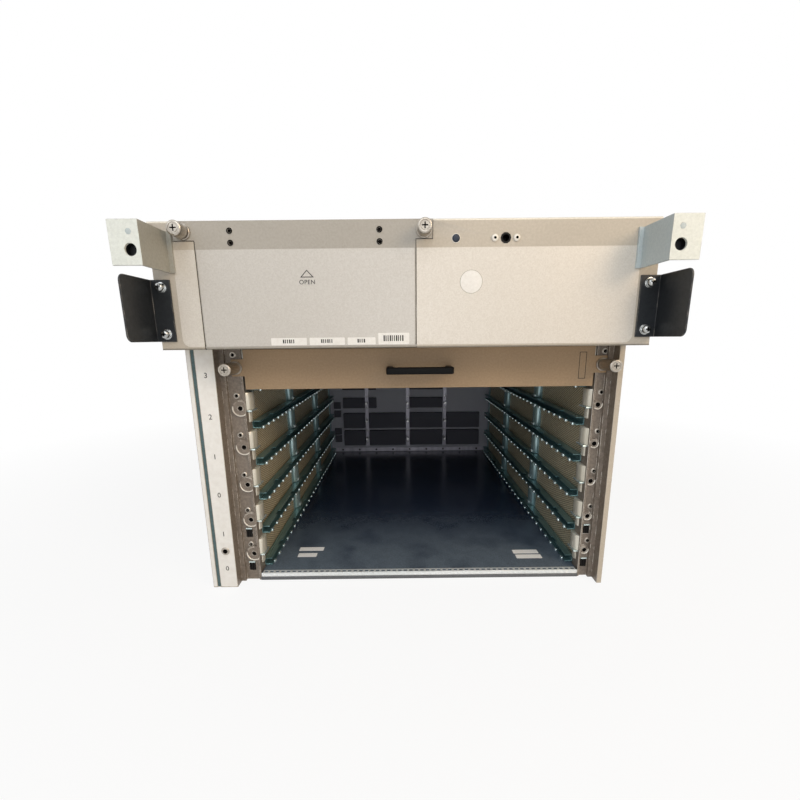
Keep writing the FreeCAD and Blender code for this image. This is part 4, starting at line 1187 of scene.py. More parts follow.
@dataclass
class Bezel:
    """The fan bezel: hood and door with their pearl film, print, labels, lamp and socket.

    A drop is measured from the top of the hood, and a foot from its bottom.
    """

    film: float = 0.25 * MM
    film_drop: float = 23.8 * MM
    film_foot: float = 2.6 * MM
    film_round: float = 7 * MM
    film_ends: Pair = (-205.0 * MM, 208.0 * MM)
    # The door's ends, the bare metal beside its film, the gap beside it and the reach of that seam.
    door_ends: Pair = (-184.6 * MM, 9.0 * MM)
    door_seam: float = 0.9 * MM
    door_gap: float = 0.6 * MM
    seam_reach: float = 0.75 * MM
    tab_height: float = 16.0 * MM
    tab_widths: Pair = (18.4 * MM, 14.8 * MM)
    hem_height: float = 1.3 * MM
    hem_proud: float = 0.1 * MM
    # The dark strips in the seam, which stand in for its shade: their foot, and where they start and end
    # behind the face.
    gasket_foot: float = 11.0 * MM
    gasket_depths: Pair = (0.5 * MM, 7.0 * MM)
    # The door's four spare screw holes, from its ends and its top.
    pull_hole_inset: float = 31.5 * MM
    pull_hole_drops: Pair = (8.3 * MM, 18.1 * MM)
    # The row of labels: their widths and heights in millimetres, and their rise over the film's foot.
    label_left: float = -124.0 * MM
    label_sizes: tuple[Pair, ...] = ((32.8, 6.7), (32.4, 6.7), (25.8, 6.6), (28.5, 10.4))
    label_gap: float = 2.5 * MM
    label_rise: float = 0.6 * MM
    label_thickness: float = 0.12 * MM
    # Bars: their share of most labels and of the last, and the width of every third one and the rest.
    bar_shares: Pair = (0.36, 0.72)
    bar_pitch: float = 1.9 * MM
    bar_widths: Pair = (1.3 * MM, 0.9 * MM)
    mark_middle: float = -87.8 * MM
    mark_drop: float = 41.1 * MM
    mark_size: Pair = (12.4 * MM, 6.6 * MM)
    mark_line: float = 0.75 * MM
    word_drop: float = 53.4 * MM
    word_height: float = 3.8 * MM
    # The sticker's middle along X and Z, and its radius in millimetres.
    sticker_place: Pair = (58.6 * MM, 326.8 * MM)
    sticker_radius: float = 9.75
    hood: Extent = field(default_factory=lambda: Extent.of("bezel_hood"))

    @property
    def face(self) -> float:
        """The front of the bezel along Y."""
        return self.hood.low.y

    def build(self) -> None:
        """Dress the bezel and all that is fixed on it."""
        shell = softened("bezel_hood", "bezel_hood_shell", 0.4 * MM, fold=self.top_fold)
        hand_over(shell, BEZEL_PAINT, stands_for=["bezel_hood"])
        # The round of the top fold is painted lighter as a painted highlight.
        second_finish(shell, FOLD_HIGHLIGHT_PAINT, self.on_fold)
        door = stand_in("fan_door", "fan_door_panel", 0.4 * MM, DOOR_PAINT, "fan_door")
        # The underside of the door's foot takes painted shade.
        second_finish(door, HEM_SHADE_PAINT, self.under_foot)
        # The faces in the seam round the door take painted shade.
        for piece in (shell, door):
            second_finish(piece, BORE_SHADE, self.in_seam)
        self.add_hem_shade()
        self.add_seam_shade_strips()
        dress_node("hinge_pin", PIN_STEEL)
        self.add_films()
        self.add_pull_holes()
        self.add_mark()
        self.add_labels()
        self.add_sticker()
        self.add_lamp()
        self.add_socket()
        for side in Side:
            CaptiveScrew(f"door_screw_{side.word}", self.face).build()

    def top_fold(self, start: Vector, end: Vector) -> bool:
        """Whether an edge is the fold between the hood's top and its face."""
        high = min(start.z, end.z) > self.hood.high.z - MERGE
        return high and max(start.y, end.y) < self.face + MERGE

    def on_fold(self, centre: Vector, normal: Vector) -> bool:
        """Whether a face is on the round of that fold, which takes the painted highlight."""
        return centre.z > self.hood.high.z - FOLD_RADIUS and normal.y < -0.2 and normal.z > 0.1

    def under_foot(self, centre: Vector, normal: Vector) -> bool:
        """Whether a face is on the underside of the door's foot, which takes painted shade."""
        return centre.z < self.hood.low.z + self.hem_height and normal.z < -0.3

    def in_seam(self, centre: Vector, normal: Vector) -> bool:
        """Whether a face lies in the seam round the door, where shade is painted.

        Args:
            centre: The middle of the face.
            normal: Its normal.

        Returns:
            True for such a face.
        """
        left, right = self.door_ends
        half = self.door_gap / 2
        tab_foot = Extent.of("fan_door").high.z - self.tab_height - half
        beside = min(abs(centre.x - left + half), abs(centre.x - right - half)) < self.seam_reach
        under = abs(centre.z - tab_foot) < self.seam_reach
        in_tab = left - self.tab_widths[0] < centre.x < left or right < centre.x < right + self.tab_widths[1]
        return abs(normal.y) < 0.95 and (beside and centre.z < tab_foot or under and in_tab)

    def add_hem_shade(self) -> None:
        """A strip of painted shade along the foot of the hood's two faces, where the hem turns under."""
        low, high = self.hood.low, self.hood.high
        left, right = self.door_ends
        spans = {Side.LEFT: (low.x, left - self.door_gap), Side.RIGHT: (right + self.door_gap, high.x)}
        for side, (start, end) in spans.items():
            foot = (start, self.face - self.hem_proud, low.z)
            top = (end, self.face, low.z + self.hem_height)
            hem = block(f"hood_hem_{side.word}", foot, top, chamfer=0.04 * MM)
            hand_over(hem, HEM_SHADE_PAINT)

    def add_seam_shade_strips(self) -> None:
        """A black strip in the seam at each side of the door: painted shade that keeps the seam dark all
        along.
        """
        foot = self.hood.low.z + self.gasket_foot
        top = Extent.of("fan_door").high.z - self.tab_height - self.door_gap
        clear = self.door_gap / 6
        left, right = self.door_ends
        for side, start in ((Side.LEFT, left - self.door_gap), (Side.RIGHT, right)):
            low = (start + clear, self.face + self.gasket_depths[0], foot)
            high = (start + self.door_gap - clear, self.face + self.gasket_depths[1], top)
            gasket = block(f"door_gasket_{side.word}", low, high, chamfer=0.08 * MM)
            # The strip's black moulding is painted shade in the seam.
            hand_over(gasket, KEY_PLASTIC)

    def add_films(self) -> None:
        """The film in three pieces: left of the door, on the door and right of it."""
        bottom = self.hood.low.z + self.film_foot
        top = self.hood.high.z - self.film_drop
        left, right = self.door_ends
        spans = (
            ("film_left", self.film_ends[0], left - self.door_seam, "chassis"),
            ("film_door", left + self.door_seam, right - self.door_seam, "fan_door"),
            ("film_right", right + self.door_seam, self.film_ends[1], "chassis"),
        )
        for name, start, end, body in spans:
            sheet = block(name, (start, self.face - self.film, bottom), (end, self.face, top))
            outer = self.film_ends

            def at_foot(first: Vector, second: Vector) -> bool:
                """Whether an edge is at the film's rounded outer foot."""
                return first.z < (bottom + top) / 2 and min(abs(first.x - end) for end in outer) < MERGE

            round_corners(sheet, Axis.Y, 0.8 * MM, lambda first, second: not at_foot(first, second))
            if body == "chassis":
                round_corners(sheet, Axis.Y, self.film_round, at_foot)
            hand_over(sheet, PEARL if body == "chassis" else DOOR_PEARL, body)

    def add_pull_holes(self) -> None:
        """A bush round each of the door's four spare screw holes."""
        left, right = self.door_ends
        top = Extent.of("fan_door").high.z
        profile = [
            (-0.3, 2.9), (0.2, 2.9), (0.35, 2.8), (0.35, 2.65), (0.12, 2.55), (0.1, 1.75), (-0.6, 1.7),
            (-0.6, 0.2),
        ]
        places = [
            (x, self.face, top - drop)
            for x in (left + self.pull_hole_inset, right - self.pull_hole_inset)
            for drop in self.pull_hole_drops
        ]
        group = front_row("pull_hole_bushes", profile, 24, places)
        hand_over(group, DOOR_PAINT, "fan_door")
        paint_bore_shade(group, places, radius=2.62 * MM, front=self.face - 0.3 * MM)

    def add_mark(self) -> None:
        """The outlined triangle and the word under it, printed on the door's film."""
        y = self.face - self.film
        width, height = self.mark_size
        bpy.ops.object.select_all(action="DESELECT")
        bpy.ops.mesh.primitive_circle_add(vertices=3, radius=1, fill_type="NGON")
        mark = bpy.context.object
        mark.name = "door_arrow"
        mark.scale = (width / math.sqrt(3), height / 1.5, 1)
        bpy.ops.object.transform_apply()
        with editing(mark):
            bpy.ops.mesh.select_all(action="SELECT")
            bpy.ops.mesh.inset(thickness=self.mark_line)
            bpy.ops.mesh.delete(type="FACE")
        stand(mark, Facing.FRONT, (self.mark_middle, y, self.hood.high.z - self.mark_drop - height * 2 / 3))
        with_modifier(mark, "SOLIDIFY", thickness=PRINT_THICKNESS, offset=1.0)
        hand_over(mark, INK, "fan_door")
        at = (self.mark_middle, y, self.hood.high.z - self.word_drop)
        word = lettering("door_word", "OPEN", self.word_height, at)
        hand_over(word, INK, "fan_door")

    def add_labels(self) -> None:
        """The row of paper labels at the door's foot, each with a plain row of bars."""
        x = self.label_left
        y = self.face - self.film
        bottom = self.hood.low.z + self.film_foot + self.label_rise
        for number, (width, height) in enumerate(self.label_sizes):
            low = (x, y - self.label_thickness, bottom)
            high = (x + width * MM, y, bottom + height * MM)
            label = block(f"door_label_{number}", low, high)
            round_corners(label, Axis.Y, radius=0.9 * MM)
            hand_over(label, PAPER, "fan_door")
            last = number == len(self.label_sizes) - 1
            span = width * MM * self.bar_shares[last]
            self.add_bars(f"door_label_{number}_bars", low, span, height * MM, width * MM)
            x += width * MM + self.label_gap

    def add_bars(self, name: str, corner: Point, span: float, height: float, width: float) -> None:
        """Plain bars of two widths in the middle of a label.

        Args:
            name: The name of the row.
            corner: The label's lowest corner.
            span: The length of the row.
            height: The label's height.
            width: The label's width.
        """
        count = int(span / self.bar_pitch)
        start = corner[0] + (width - self.bar_pitch * count) / 2
        foot = corner[2] + height * 0.28
        top = foot + height * 0.5
        bars = []
        for number in range(count):
            low = (start + number * self.bar_pitch, corner[1] - 0.04 * MM, foot)
            high = (low[0] + self.bar_widths[number % 3 > 0], corner[1], top)
            bars.append(block(f"{name}_{number}", low, high))
        hand_over(gather(name, bars), INK, "fan_door")

    def add_sticker(self) -> None:
        """The blank round sticker on the fixed face."""
        radius = self.sticker_radius
        rim = radius + 0.4
        profile = [(0, rim), (0.05, rim), (0.06, radius), (0.12, radius - 0.1), (0.15, radius - 0.3)]
        x, z = self.sticker_place
        sticker = front_turned("round_sticker", profile, 48, (x, self.face - self.film, z))
        hand_over(sticker, PAPER)

        def on_rim(centre: Vector, normal: Vector) -> bool:
            """Whether a face is outside the paper."""
            return math.hypot(centre.x - x, centre.z - z) > radius * MM

        # The rim round the paper takes a painted shadow of the sticker's edge.
        second_finish(sticker, STICKER_EDGE_SHADOW, on_rim)

    def add_lamp(self) -> None:
        """The status lamp: a domed smoked lens in a bright ring."""
        middle = Extent.of("status_lamp").centre
        at = (middle.x, self.face, middle.z)
        lens = [(-2.4, 2.6), (0.05, 2.6), (0.05, 3.4), (0.4, 3.4), (0.9, 2.9), (1.2, 2.0), (1.3, 0.9)]
        dome = front_turned("status_lamp_lens", lens, 28, at)
        hand_over(dome, LENS, stands_for=["status_lamp"])
        profile = [(0, 3.9), (0.4, 3.9), (0.5, 3.7), (0.5, 3.5), (0.02, 3.45)]
        ring = front_turned("status_lamp_ring", profile, 28, at)
        hand_over(ring, PALE_ZINC)

    def add_socket(self) -> None:
        """The alarm socket and its two pale screws."""
        dress_node("alarm_socket", KEY_PLASTIC)
        box = Extent.of("socket_screws")
        middle = Extent.of("alarm_socket").centre.x
        head_radius = 2.7 * MM
        reach = (box.high.x - box.low.x) / 2 - head_radius
        profile = [(0, 3.1), (0.7, 3.1), (1.2, 2.7), (1.5, 1.9), (1.5, 1.2), (0.7, 1.1)]
        places = [(middle + side.value * reach, self.face, box.centre.z) for side in Side]
        group = front_row("socket_screw_heads", profile, 24, places)
        hand_over(group, PALE_ZINC, stands_for=["socket_screws"])
        paint_bore_shade(group, places, radius=1.25 * MM, front=self.face - 1.45 * MM)


@dataclass
class RackFixing:
    """The front brackets with their clip nuts, the black side guards and their screws."""

    chamfer: float = 0.45 * MM
    # The thickness of the brackets' sheet.
    wall: float = 2.0 * MM
    # From a bracket's foot to its large hole and its small stud, and from its outer edge to both.
    hole_rise: float = 11.7 * MM
    stud_rise: float = 25.0 * MM
    hole_inset: float = 16.0 * MM

    def build(self) -> None:
        """Dress both sides."""
        # The right bracket takes a cooler copy of the coat as a painted reflection.
        plates = {Side.LEFT: BRACKET_PAINT, Side.RIGHT: BRACKET_COOL_LIGHT_PAINT}
        for side in Side:
            node = f"front_bracket_{side.word}"
            bracket = stand_in(node, f"{node}_sheet", self.chamfer, plates[side])
            front = Extent.of(node).low.y + self.wall * 0.6
            # The front faces are painted paler, as painted light.
            second_finish(bracket, BRACKET_FACE_LIGHT_PAINT, lambda centre, normal: centre.y < front)
            self.add_fittings(side, Extent.of(node))
            node = f"side_guard_{side.word}"
            stand_in(node, f"{node}_sheet", self.chamfer, GUARD_PAINT)
        self.add_screws()

    def add_fittings(self, side: Side, box: Extent) -> None:
        """The clip nut behind a bracket's large hole and the stud in its small one.

        Args:
            side: The bracket's side.
            box: The bracket's box.
        """
        x = (box.high.x - self.hole_inset) if side is Side.RIGHT else (box.low.x + self.hole_inset)
        profile = [(-4.6, 5.2), (-4.2, 5.6), (-0.1, 5.6), (-0.1, 4.6), (-4.0, 4.2)]
        at = (x, box.low.y + self.wall, box.low.z + self.hole_rise)
        nut = front_turned(f"clip_nut_{side.word}", profile, 28, at)
        hand_over(nut, BLACK_STEEL)
        profile = [(-1.9, 2.4), (-0.2, 2.4), (0.0, 2.1), (0.1, 1.2)]
        at = (x, box.low.y, box.low.z + self.stud_rise)
        stud = front_turned(f"clip_stud_{side.word}", profile, 20, at)
        # The studs take the cooler copy of the bracket coat, with its painted reflection.
        hand_over(stud, BRACKET_COOL_LIGHT_PAINT)

    def add_screws(self) -> None:
        """Pan-head screws on flat and spring washers."""
        box = Extent.of("guard_screws")
        head_radius = 3.8 * MM
        height = 6.0
        profile = [
            (0, 4.6), (0.7, 4.6), (0.8, 4.4), (0.8, 3.9), (1.9, 3.9), (2.0, 3.6), (4.2, 3.6), (5.2, 3.1),
            (5.8, 2.2), (height, 1.4),
        ]
        head = turned("guard_screw", profile, 26)
        cross_recess(head, top=height, reach=4.2, width=0.95, depth=1.4)
        stand(head, Facing.FRONT, ORIGIN)
        foot = box.low.y + height * MM
        places = [
            (side.value * (box.high.x - head_radius), foot, z)
            for side in Side
            for z in (box.low.z + head_radius, box.high.z - head_radius)
        ]
        group = at_places(head, "guard_screw_heads", places)
        hand_over(group, CHROME, stands_for=["guard_screws"])
        paint_bore_shade(group, places, radius=2.3 * MM, front=box.low.y + 0.5 * MM)


@dataclass
class CornerPosts:
    """The corner posts: numbered strip, card flanges, bushings, keys and grounding jack.

    Rises, drops and steps are measured from a slot's screw.
    """

    strip: float = 0.2 * MM
    strip_margin: float = 0.5 * MM
    numeral_height: float = 5.4 * MM
    # The widths of the left face's edge strip, groove and numbered strip.
    face_parts: tuple[float, float, float] = (4.7 * MM, 3.6 * MM, 19.5 * MM)
    groove_depth: float = 0.8 * MM
    # A screw boss: its radius in millimetres, where the card bay cuts it, how far it stands out.
    boss_radii: dict[Side, float] = field(default_factory=lambda: {Side.LEFT: 9.0, Side.RIGHT: 5.4})
    boss_edge: float = 5.3 * MM
    boss_proud: float = 2.0 * MM
    bead_width: float = 2.0 * MM
    line_rise: float = -6.3 * MM
    control_rise: float = -10.2 * MM
    # The dowels, outwards and up, for the lower and the upper slots.
    dowel_step: float = 3.4 * MM
    dowel_rises: Pair = (11.0 * MM, 13.4 * MM)
    # The keying blocks: their width, depth and height, and their middles.
    key_drop: float = 17.8 * MM
    key_size: tuple[float, float, float] = (6.6 * MM, 2.4 * MM, 9.2 * MM)
    key_middles: dict[Side, float] = field(
        default_factory=lambda: {Side.LEFT: -182.55 * MM, Side.RIGHT: 207.85 * MM}
    )
    flange: float = field(default_factory=card_flange)

    def build(self) -> None:
        """Dress both posts and what is set into them."""
        for side in Side:
            node = f"front_post_{side.word}"
            post = stand_in(node, f"{node}_sheet", 0.4 * MM, POST_STEEL)
            box = Extent.of(node)
            front = box.low.y + 0.5 * MM
            # The post's front face takes the bezel's paler coat, with its painted light.
            second_finish(post, BEZEL_PAINT, lambda centre, normal: centre.y < front)
            outward = side.value
            second_finish(post, CASE_PAINT, lambda centre, normal: normal.x * outward > SQUARE_ON)
            inner = box.high.x if side is Side.LEFT else box.low.x

            def on_bead(centre: Vector, normal: Vector) -> bool:
                """Whether a face is on the bead along the post's inner edge, which takes a painted highlight.
                """
                return abs(centre.x - inner) < self.bead_width and normal.y < FORWARDS

            # The front of the inner bead is pale zinc: a painted highlight along the edge.
            second_finish(post, PALE_ZINC, on_bead)
            self.add_bushings(side)
            self.add_rims(side)
            self.add_keys(side)
        self.add_strip()
        self.add_numerals()
        self.add_jack()

    def levels(self) -> list[float]:
        """The height of each slot's screw hole, from the bottom."""
        rises = [mount["pos_m"][2] for mount in slot_mounts()]
        return rises + [Extent.of("filler_screw_left").centre.z]

    def add_bushings(self, side: Side) -> None:
        """A threaded bush in each boss and a dowel bush above it.

        Args:
            side: The post's side.
        """
        x = Extent.of(f"filler_screw_{side.word}").centre.x
        face = self.flange - self.boss_proud
        levels = self.levels()
        profile = [
            (-1.2, 3.1), (0.3, 3.1), (0.5, 2.95), (0.5, 2.7), (0.14, 2.5), (-0.2, 2.2), (-0.6, 1.9),
            (-0.6, 0.2),
        ]
        places = [(x, face, z) for z in levels]
        group = front_row(f"boss_bushes_{side.word}", profile, 24, places)
        hand_over(group, NICKEL)
        paint_bore_shade(group, places, radius=2.45 * MM, front=face - 0.3 * MM)
        dowel_x = x + side.value * self.dowel_step
        rises = [self.dowel_rises[0]] * 3 + [self.dowel_rises[1]] * 3
        profile = [(-0.6, 3.4), (0.6, 3.4), (1.0, 2.9), (1.0, 1.9), (0.5, 1.6), (-0.5, 1.5)]
        places = [(dowel_x, self.flange, z + rise) for z, rise in zip(levels, rises)]
        group = front_row(f"dowel_bushes_{side.word}", profile, 24, places)
        hand_over(group, NICKEL)
        paint_bore_shade(group, places, radius=1.75 * MM, front=self.flange - 0.8 * MM)

    def add_rims(self, side: Side) -> None:
        """The raised rim of each screw boss, open to the card bay.

        Args:
            side: The post's side.
        """
        x = Extent.of(f"filler_screw_{side.word}").centre.x
        radius = self.boss_radii[side]
        profile = [
            (-1.5, radius), (0.3, radius), (0.7, radius - 0.4), (0.7, radius - 0.9), (0.1, radius - 1.4),
            (0.1, 3.2), (-1.1, 3.2),
        ]
        rim = turned("boss_rim", profile, 40)
        edge = (-side.value * self.boss_edge, 0, 0)
        with editing(rim):
            bpy.ops.mesh.select_all(action="SELECT")
            bpy.ops.mesh.bisect(plane_co=edge, plane_no=(-side.value, 0, 0), use_fill=True, clear_outer=True)
        stand(rim, Facing.FRONT, ORIGIN)
        places = [(x, self.flange - self.boss_proud, z) for z in self.levels()]
        group = at_places(rim, f"boss_rims_{side.word}", places)
        hand_over(group, PALE_ZINC)
        flat = (radius - 1.3) * MM

        def unlit(centre: Vector, normal: Vector) -> bool:
            """Whether a face is within the rim, or on its upper and inner part, where shade is painted.

            Args:
                centre: The middle of the face.
                normal: Its normal.

            Returns:
                True for such a face.
            """
            middle = min(places, key=lambda place: abs(centre.z - place[2]))
            across, up = (centre.x - middle[0]) * side.value, centre.z - middle[2]
            return math.hypot(across, up) < flat or across * 0.5 - up * 0.87 < flat * 0.3

        # The rim is pale zinc, a painted highlight on its lower outer crescent, with darker steel as painted
        # shade elsewhere.
        second_finish(group, POST_STEEL, unlit)

    def add_keys(self, side: Side) -> None:
        """A ribbed keying block in each key slot of the control slots, with a bright spring over it.

        Args:
            side: The post's side.
        """
        width, depth, height = self.key_size
        ribs = 3
        pitch = width / ribs
        corner = (-width / 2, 0.2 * MM, -height / 2)
        parts = [block("key_base", corner, (width / 2, depth, height / 2), chamfer=0.3 * MM)]
        for number in range(ribs):
            start = -width / 2 + pitch * (number + 0.2)
            low = (start, -0.8 * MM, -height / 2 + 0.6 * MM)
            high = (start + pitch * 0.6, 0.4 * MM, height / 2 - 0.6 * MM)
            parts.append(block(f"key_rib_{number}", low, high, chamfer=0.2 * MM))
        key = gather("keying_block", parts)
        x = self.key_middles[side]
        heights = [z - self.key_drop for z in self.levels()[:2]]
        group = at_places(key, f"keying_blocks_{side.word}", [(x, self.flange, z) for z in heights])
        hand_over(group, KEY_PLASTIC)
        spring_low = (-width / 2 - 0.4 * MM, -1.4 * MM, height / 2 + 0.8 * MM)
        spring_high = (width / 2 + 0.4 * MM, 0.1 * MM, height / 2 + 2.4 * MM)
        spring = block("key_spring", spring_low, spring_high, chamfer=0.45 * MM)
        group = at_places(spring, f"key_springs_{side.word}", [(x, self.flange, z) for z in heights])
        hand_over(group, BRIGHT_ZINC)

    def strip_face(self) -> float:
        """The front of the label strip along Y."""
        return Extent.of("front_post_left").low.y - self.strip

    def add_strip(self) -> None:
        """The near-white strips on the left post's face, with the dark groove between them."""
        box = Extent.of("front_post_left")
        outer, groove, numbered = self.face_parts
        margin = self.strip_margin
        foot, top = box.low.z + 2 * margin, box.high.z - margin
        parts = {
            "post_edge_strip": (box.low.x, outer),
            "post_label_strip": (box.low.x + outer + groove, numbered),
        }
        for name, (start, width) in parts.items():
            low = (start + margin, self.strip_face(), foot)
            strip = block(name, low, (start + width - margin, box.low.y, top))
            round_corners(strip, Axis.Y, radius=1.2 * MM)
            hand_over(strip, STRIP_FILM)
        start = box.low.x + outer
        low = (start, box.low.y + self.groove_depth * 0.4, foot)
        high = (start + groove, box.low.y + self.groove_depth, top)
        liner = block("post_groove_liner", low, high, chamfer=0.15 * MM)
        hand_over(liner, GROOVE_PAINT)

    def add_numerals(self) -> None:
        """The slot numbers, line slots above and control slots below."""
        outer, groove, numbered = self.face_parts
        x = Extent.of("front_post_left").low.x + outer + groove + numbered / 2
        for name, level in zip(SLOTS, self.levels()):
            kind, digit = name.split("_")
            rise = self.line_rise if kind == "line" else self.control_rise
            at = (x, self.strip_face(), level + rise - self.numeral_height / 2)
            numeral = lettering(f"numeral_{name}", digit, self.numeral_height, at)
            hand_over(numeral, INK)

    def add_jack(self) -> None:
        """The grounding jack: a nickel flange round a dark bore."""
        box = Extent.of("ground_jack")
        post = Extent.of("front_post_left").low.y
        depth = (box.high.y - post) / MM
        profile = [
            (-depth, 2.9), (0, 2.9), (0, 4.4), (0.6, 4.6), (1.0, 4.2), (1.0, 2.7), (0.5, 2.5), (0.15, 2.2),
            (0.1, 0.6),
        ]
        at = (box.centre.x, post - self.strip, box.centre.z)
        jack = front_turned("ground_jack_body", profile, 28, at)
        hand_over(jack, NICKEL, stands_for=["ground_jack"])
        paint_bore_shade(jack, [box.centre], radius=2.62 * MM, front=post - self.strip - 0.8 * MM)


@dataclass
class CardCage:
    """The card cage: deck, sill, guide frames, guides with spring fingers, columns and screens."""

    finger_pitch: float = 19.0 * MM
    # The sill gasket: its windows, the metal round one, and its leaf on the deck.
    windows: int = 56
    window_frame: float = 1.3 * MM
    leaf_reach: float = 6.0 * MM
    # The bead under the gasket, in millimetres: its radius and its rounded ends.
    bead_radius: float = 1.6
    bead_round: float = 0.4
    column_bulge: float = 6.5 * MM
    column_half: float = 9.5 * MM
    bays: int = 3
    cage_depth: float = 520.0 * MM
    # Where a front column's tab is, from one guide to the next.
    tab_share: float = 0.42
    # Each deck label's left, right and distance behind the flange, in millimetres.
    deck_labels: tuple[tuple[float, float, float], ...] = (
        (-140.5, -108.7, 53.0), (-139.0, -115.0, 38.0), (136.0, 168.0, 40.5), (137.0, 169.0, 29.0)
    )
    label_half: float = 4.5 * MM
    flange: float = field(default_factory=card_flange)

    def build(self) -> None:
        """Dress the cage from its floor upwards."""
        self.add_deck()
        self.add_sill()
        for side in Side:
            self.add_walls(side)
            self.add_guides(side)
            self.add_columns(side)
        stand_in("cage_roof", "cage_roof_sheet", 0.3 * MM, ZINC)

    def add_deck(self) -> None:
        """The gloss floor and the paper labels on it."""
        box = Extent.of("floor_deck")
        # Blue-black gloss that mirrors the cage, but for a pale film of dust and painted light at the front.
        paint = DeckPaint("gloss_deck_paint", "#16233c", "#768490", 0.2, 1.6, box.low.y, fade=0.21)
        deck = stand_in("floor_deck", "floor_deck_sheet", 0.4 * MM, paint)
        # The deck's front faces take the bright sill zinc as a painted highlight along its lip.
        second_finish(deck, GASKET_ZINC, lambda centre, normal: normal.y < FORWARDS)
        for number, (left, right, back) in enumerate(self.deck_labels):
            y = self.flange + back * MM
            low = (left * MM, y - self.label_half, box.high.z)
            high = (right * MM, y + self.label_half, box.high.z + 0.15 * MM)
            label = block(f"deck_label_{number}", low, high)
            round_corners(label, Axis.Z, radius=0.8 * MM)
            # The deck labels take the paper's pure-white copy, as painted light.
            hand_over(label, LIT_LABEL_PAPER)

    def add_sill(self) -> None:
        """The windowed gasket along the sill, its leaf on the deck, and the rolled bead under it."""
        box = Extent.of("sill_gasket")
        front = self.windowed("sill_gasket_strip", box.low, box.high, Axis.Y)
        hand_over(front, GASKET_ZINC, stands_for=["sill_gasket"])
        low = (box.low.x, box.high.y, box.high.z)
        high = (box.high.x, box.high.y + self.leaf_reach, box.high.z + 0.4 * MM)
        leaf = self.windowed("sill_gasket_leaf", low, high, Axis.Z)
        hand_over(leaf, GASKET_ZINC)
        radius, turn = self.bead_radius, self.bead_round
        end = radius - turn
        length = (box.high.x - box.low.x) / MM
        bead = turned("sill_bead", [(0, end), (turn, radius), (length - turn, radius), (length, end)], 20)
        stand(bead, Facing.RIGHT, (box.low.x, box.low.y - 0.1 * MM, box.low.z - 1.3 * MM))
        # The bead takes the sill's painted shade.
        hand_over(bead, SILL_SHADE_PAINT)

    def windowed(self, name: str, low: Point, high: Point, through: Axis) -> Object:
        """A spring strip along X with a row of windows.

        Args:
            name: The strip's name.
            low: Its lowest corner.
            high: Its highest corner.
            through: The axis that the windows go through.

        Returns:
            The strip.
        """
        pitch = (high[0] - low[0]) / self.windows
        cell = block(name, low, (low[0] + pitch, high[1], high[2]))
        with editing(cell):
            pick_faces(cell, lambda centre, normal: abs(normal[through.value]) > SQUARE_ON)
            bpy.ops.mesh.inset(thickness=self.window_frame, use_individual=True)
            bpy.ops.mesh.bridge_edge_loops()
        with_modifier(
            cell, "ARRAY", count=self.windows, use_relative_offset=False, use_constant_offset=True,
            constant_offset_displace=(pitch, 0, 0), use_merge_vertices=True, merge_threshold=MERGE,
        )
        return cell

    def add_walls(self, side: Side) -> None:
        """A guide frame and the perforated screen behind it.

        Args:
            side: The side of the cage.
        """
        node = f"guide_frame_{side.word}"
        stand_in(node, f"{node}_sheet", 0.3 * MM, ZINC)
        node = f"air_screen_{side.word}"
        box = Extent.of(node)
        screen = block(f"{node}_sheet", box.low, box.high)
        with editing(screen):
            pick_faces(screen, lambda centre, normal: abs(normal.x) > SQUARE_ON)
            bpy.ops.mesh.inset(thickness=6 * MM, depth=-0.15 * MM, use_individual=True)
        hand_over(screen, SCREEN, stands_for=[node])

    def add_guides(self, side: Side) -> None:
        """The card guides of a side, each with a row of sprung fingers under it.

        Args:
            side: The side of the cage.
        """
        lowest = f"card_guide_{side.word}_{SLOTS[0]}"
        first = Extent.of(lowest)
        pattern = softened(lowest, "guide_pattern", chamfer=0.25 * MM)
        fingers = self.finger_row(side, first)
        for slot in SLOTS:
            node = f"card_guide_{side.word}_{slot}"
            shift = Extent.of(node).low - first.low
            hand_over(twin(pattern, f"{node}_channel", shift), GUIDE_ZINC, stands_for=[node])
            hand_over(twin(fingers, f"{node}_fingers", shift), BRIGHT_ZINC)
        bpy.data.objects.remove(pattern)
        bpy.data.objects.remove(fingers)

    def finger_row(self, side: Side, guide: Extent) -> Object:
        """Sprung fingers along the inner foot of a guide.

        Args:
            side: The guide's side.
            guide: The guide's box.

        Returns:
            The row as one piece.
        """
        inner = guide.high.x if side is Side.LEFT else guide.low.x
        low = (-1.7 * MM, -2.8 * MM, -1.9 * MM)
        high = (1.7 * MM, 2.8 * MM, 1.7 * MM)
        finger = block("finger", low, high, chamfer=1.2 * MM)
        smooth(finger)
        count = int((guide.high.y - guide.low.y) / self.finger_pitch)
        start = guide.low.y + self.finger_pitch / 2
        stand(finger, Facing.UP, (inner, start, guide.low.z))
        with_modifier(
            finger, "ARRAY", count=count, use_relative_offset=False, use_constant_offset=True,
            constant_offset_displace=(0, self.finger_pitch, 0),
        )
        return finger

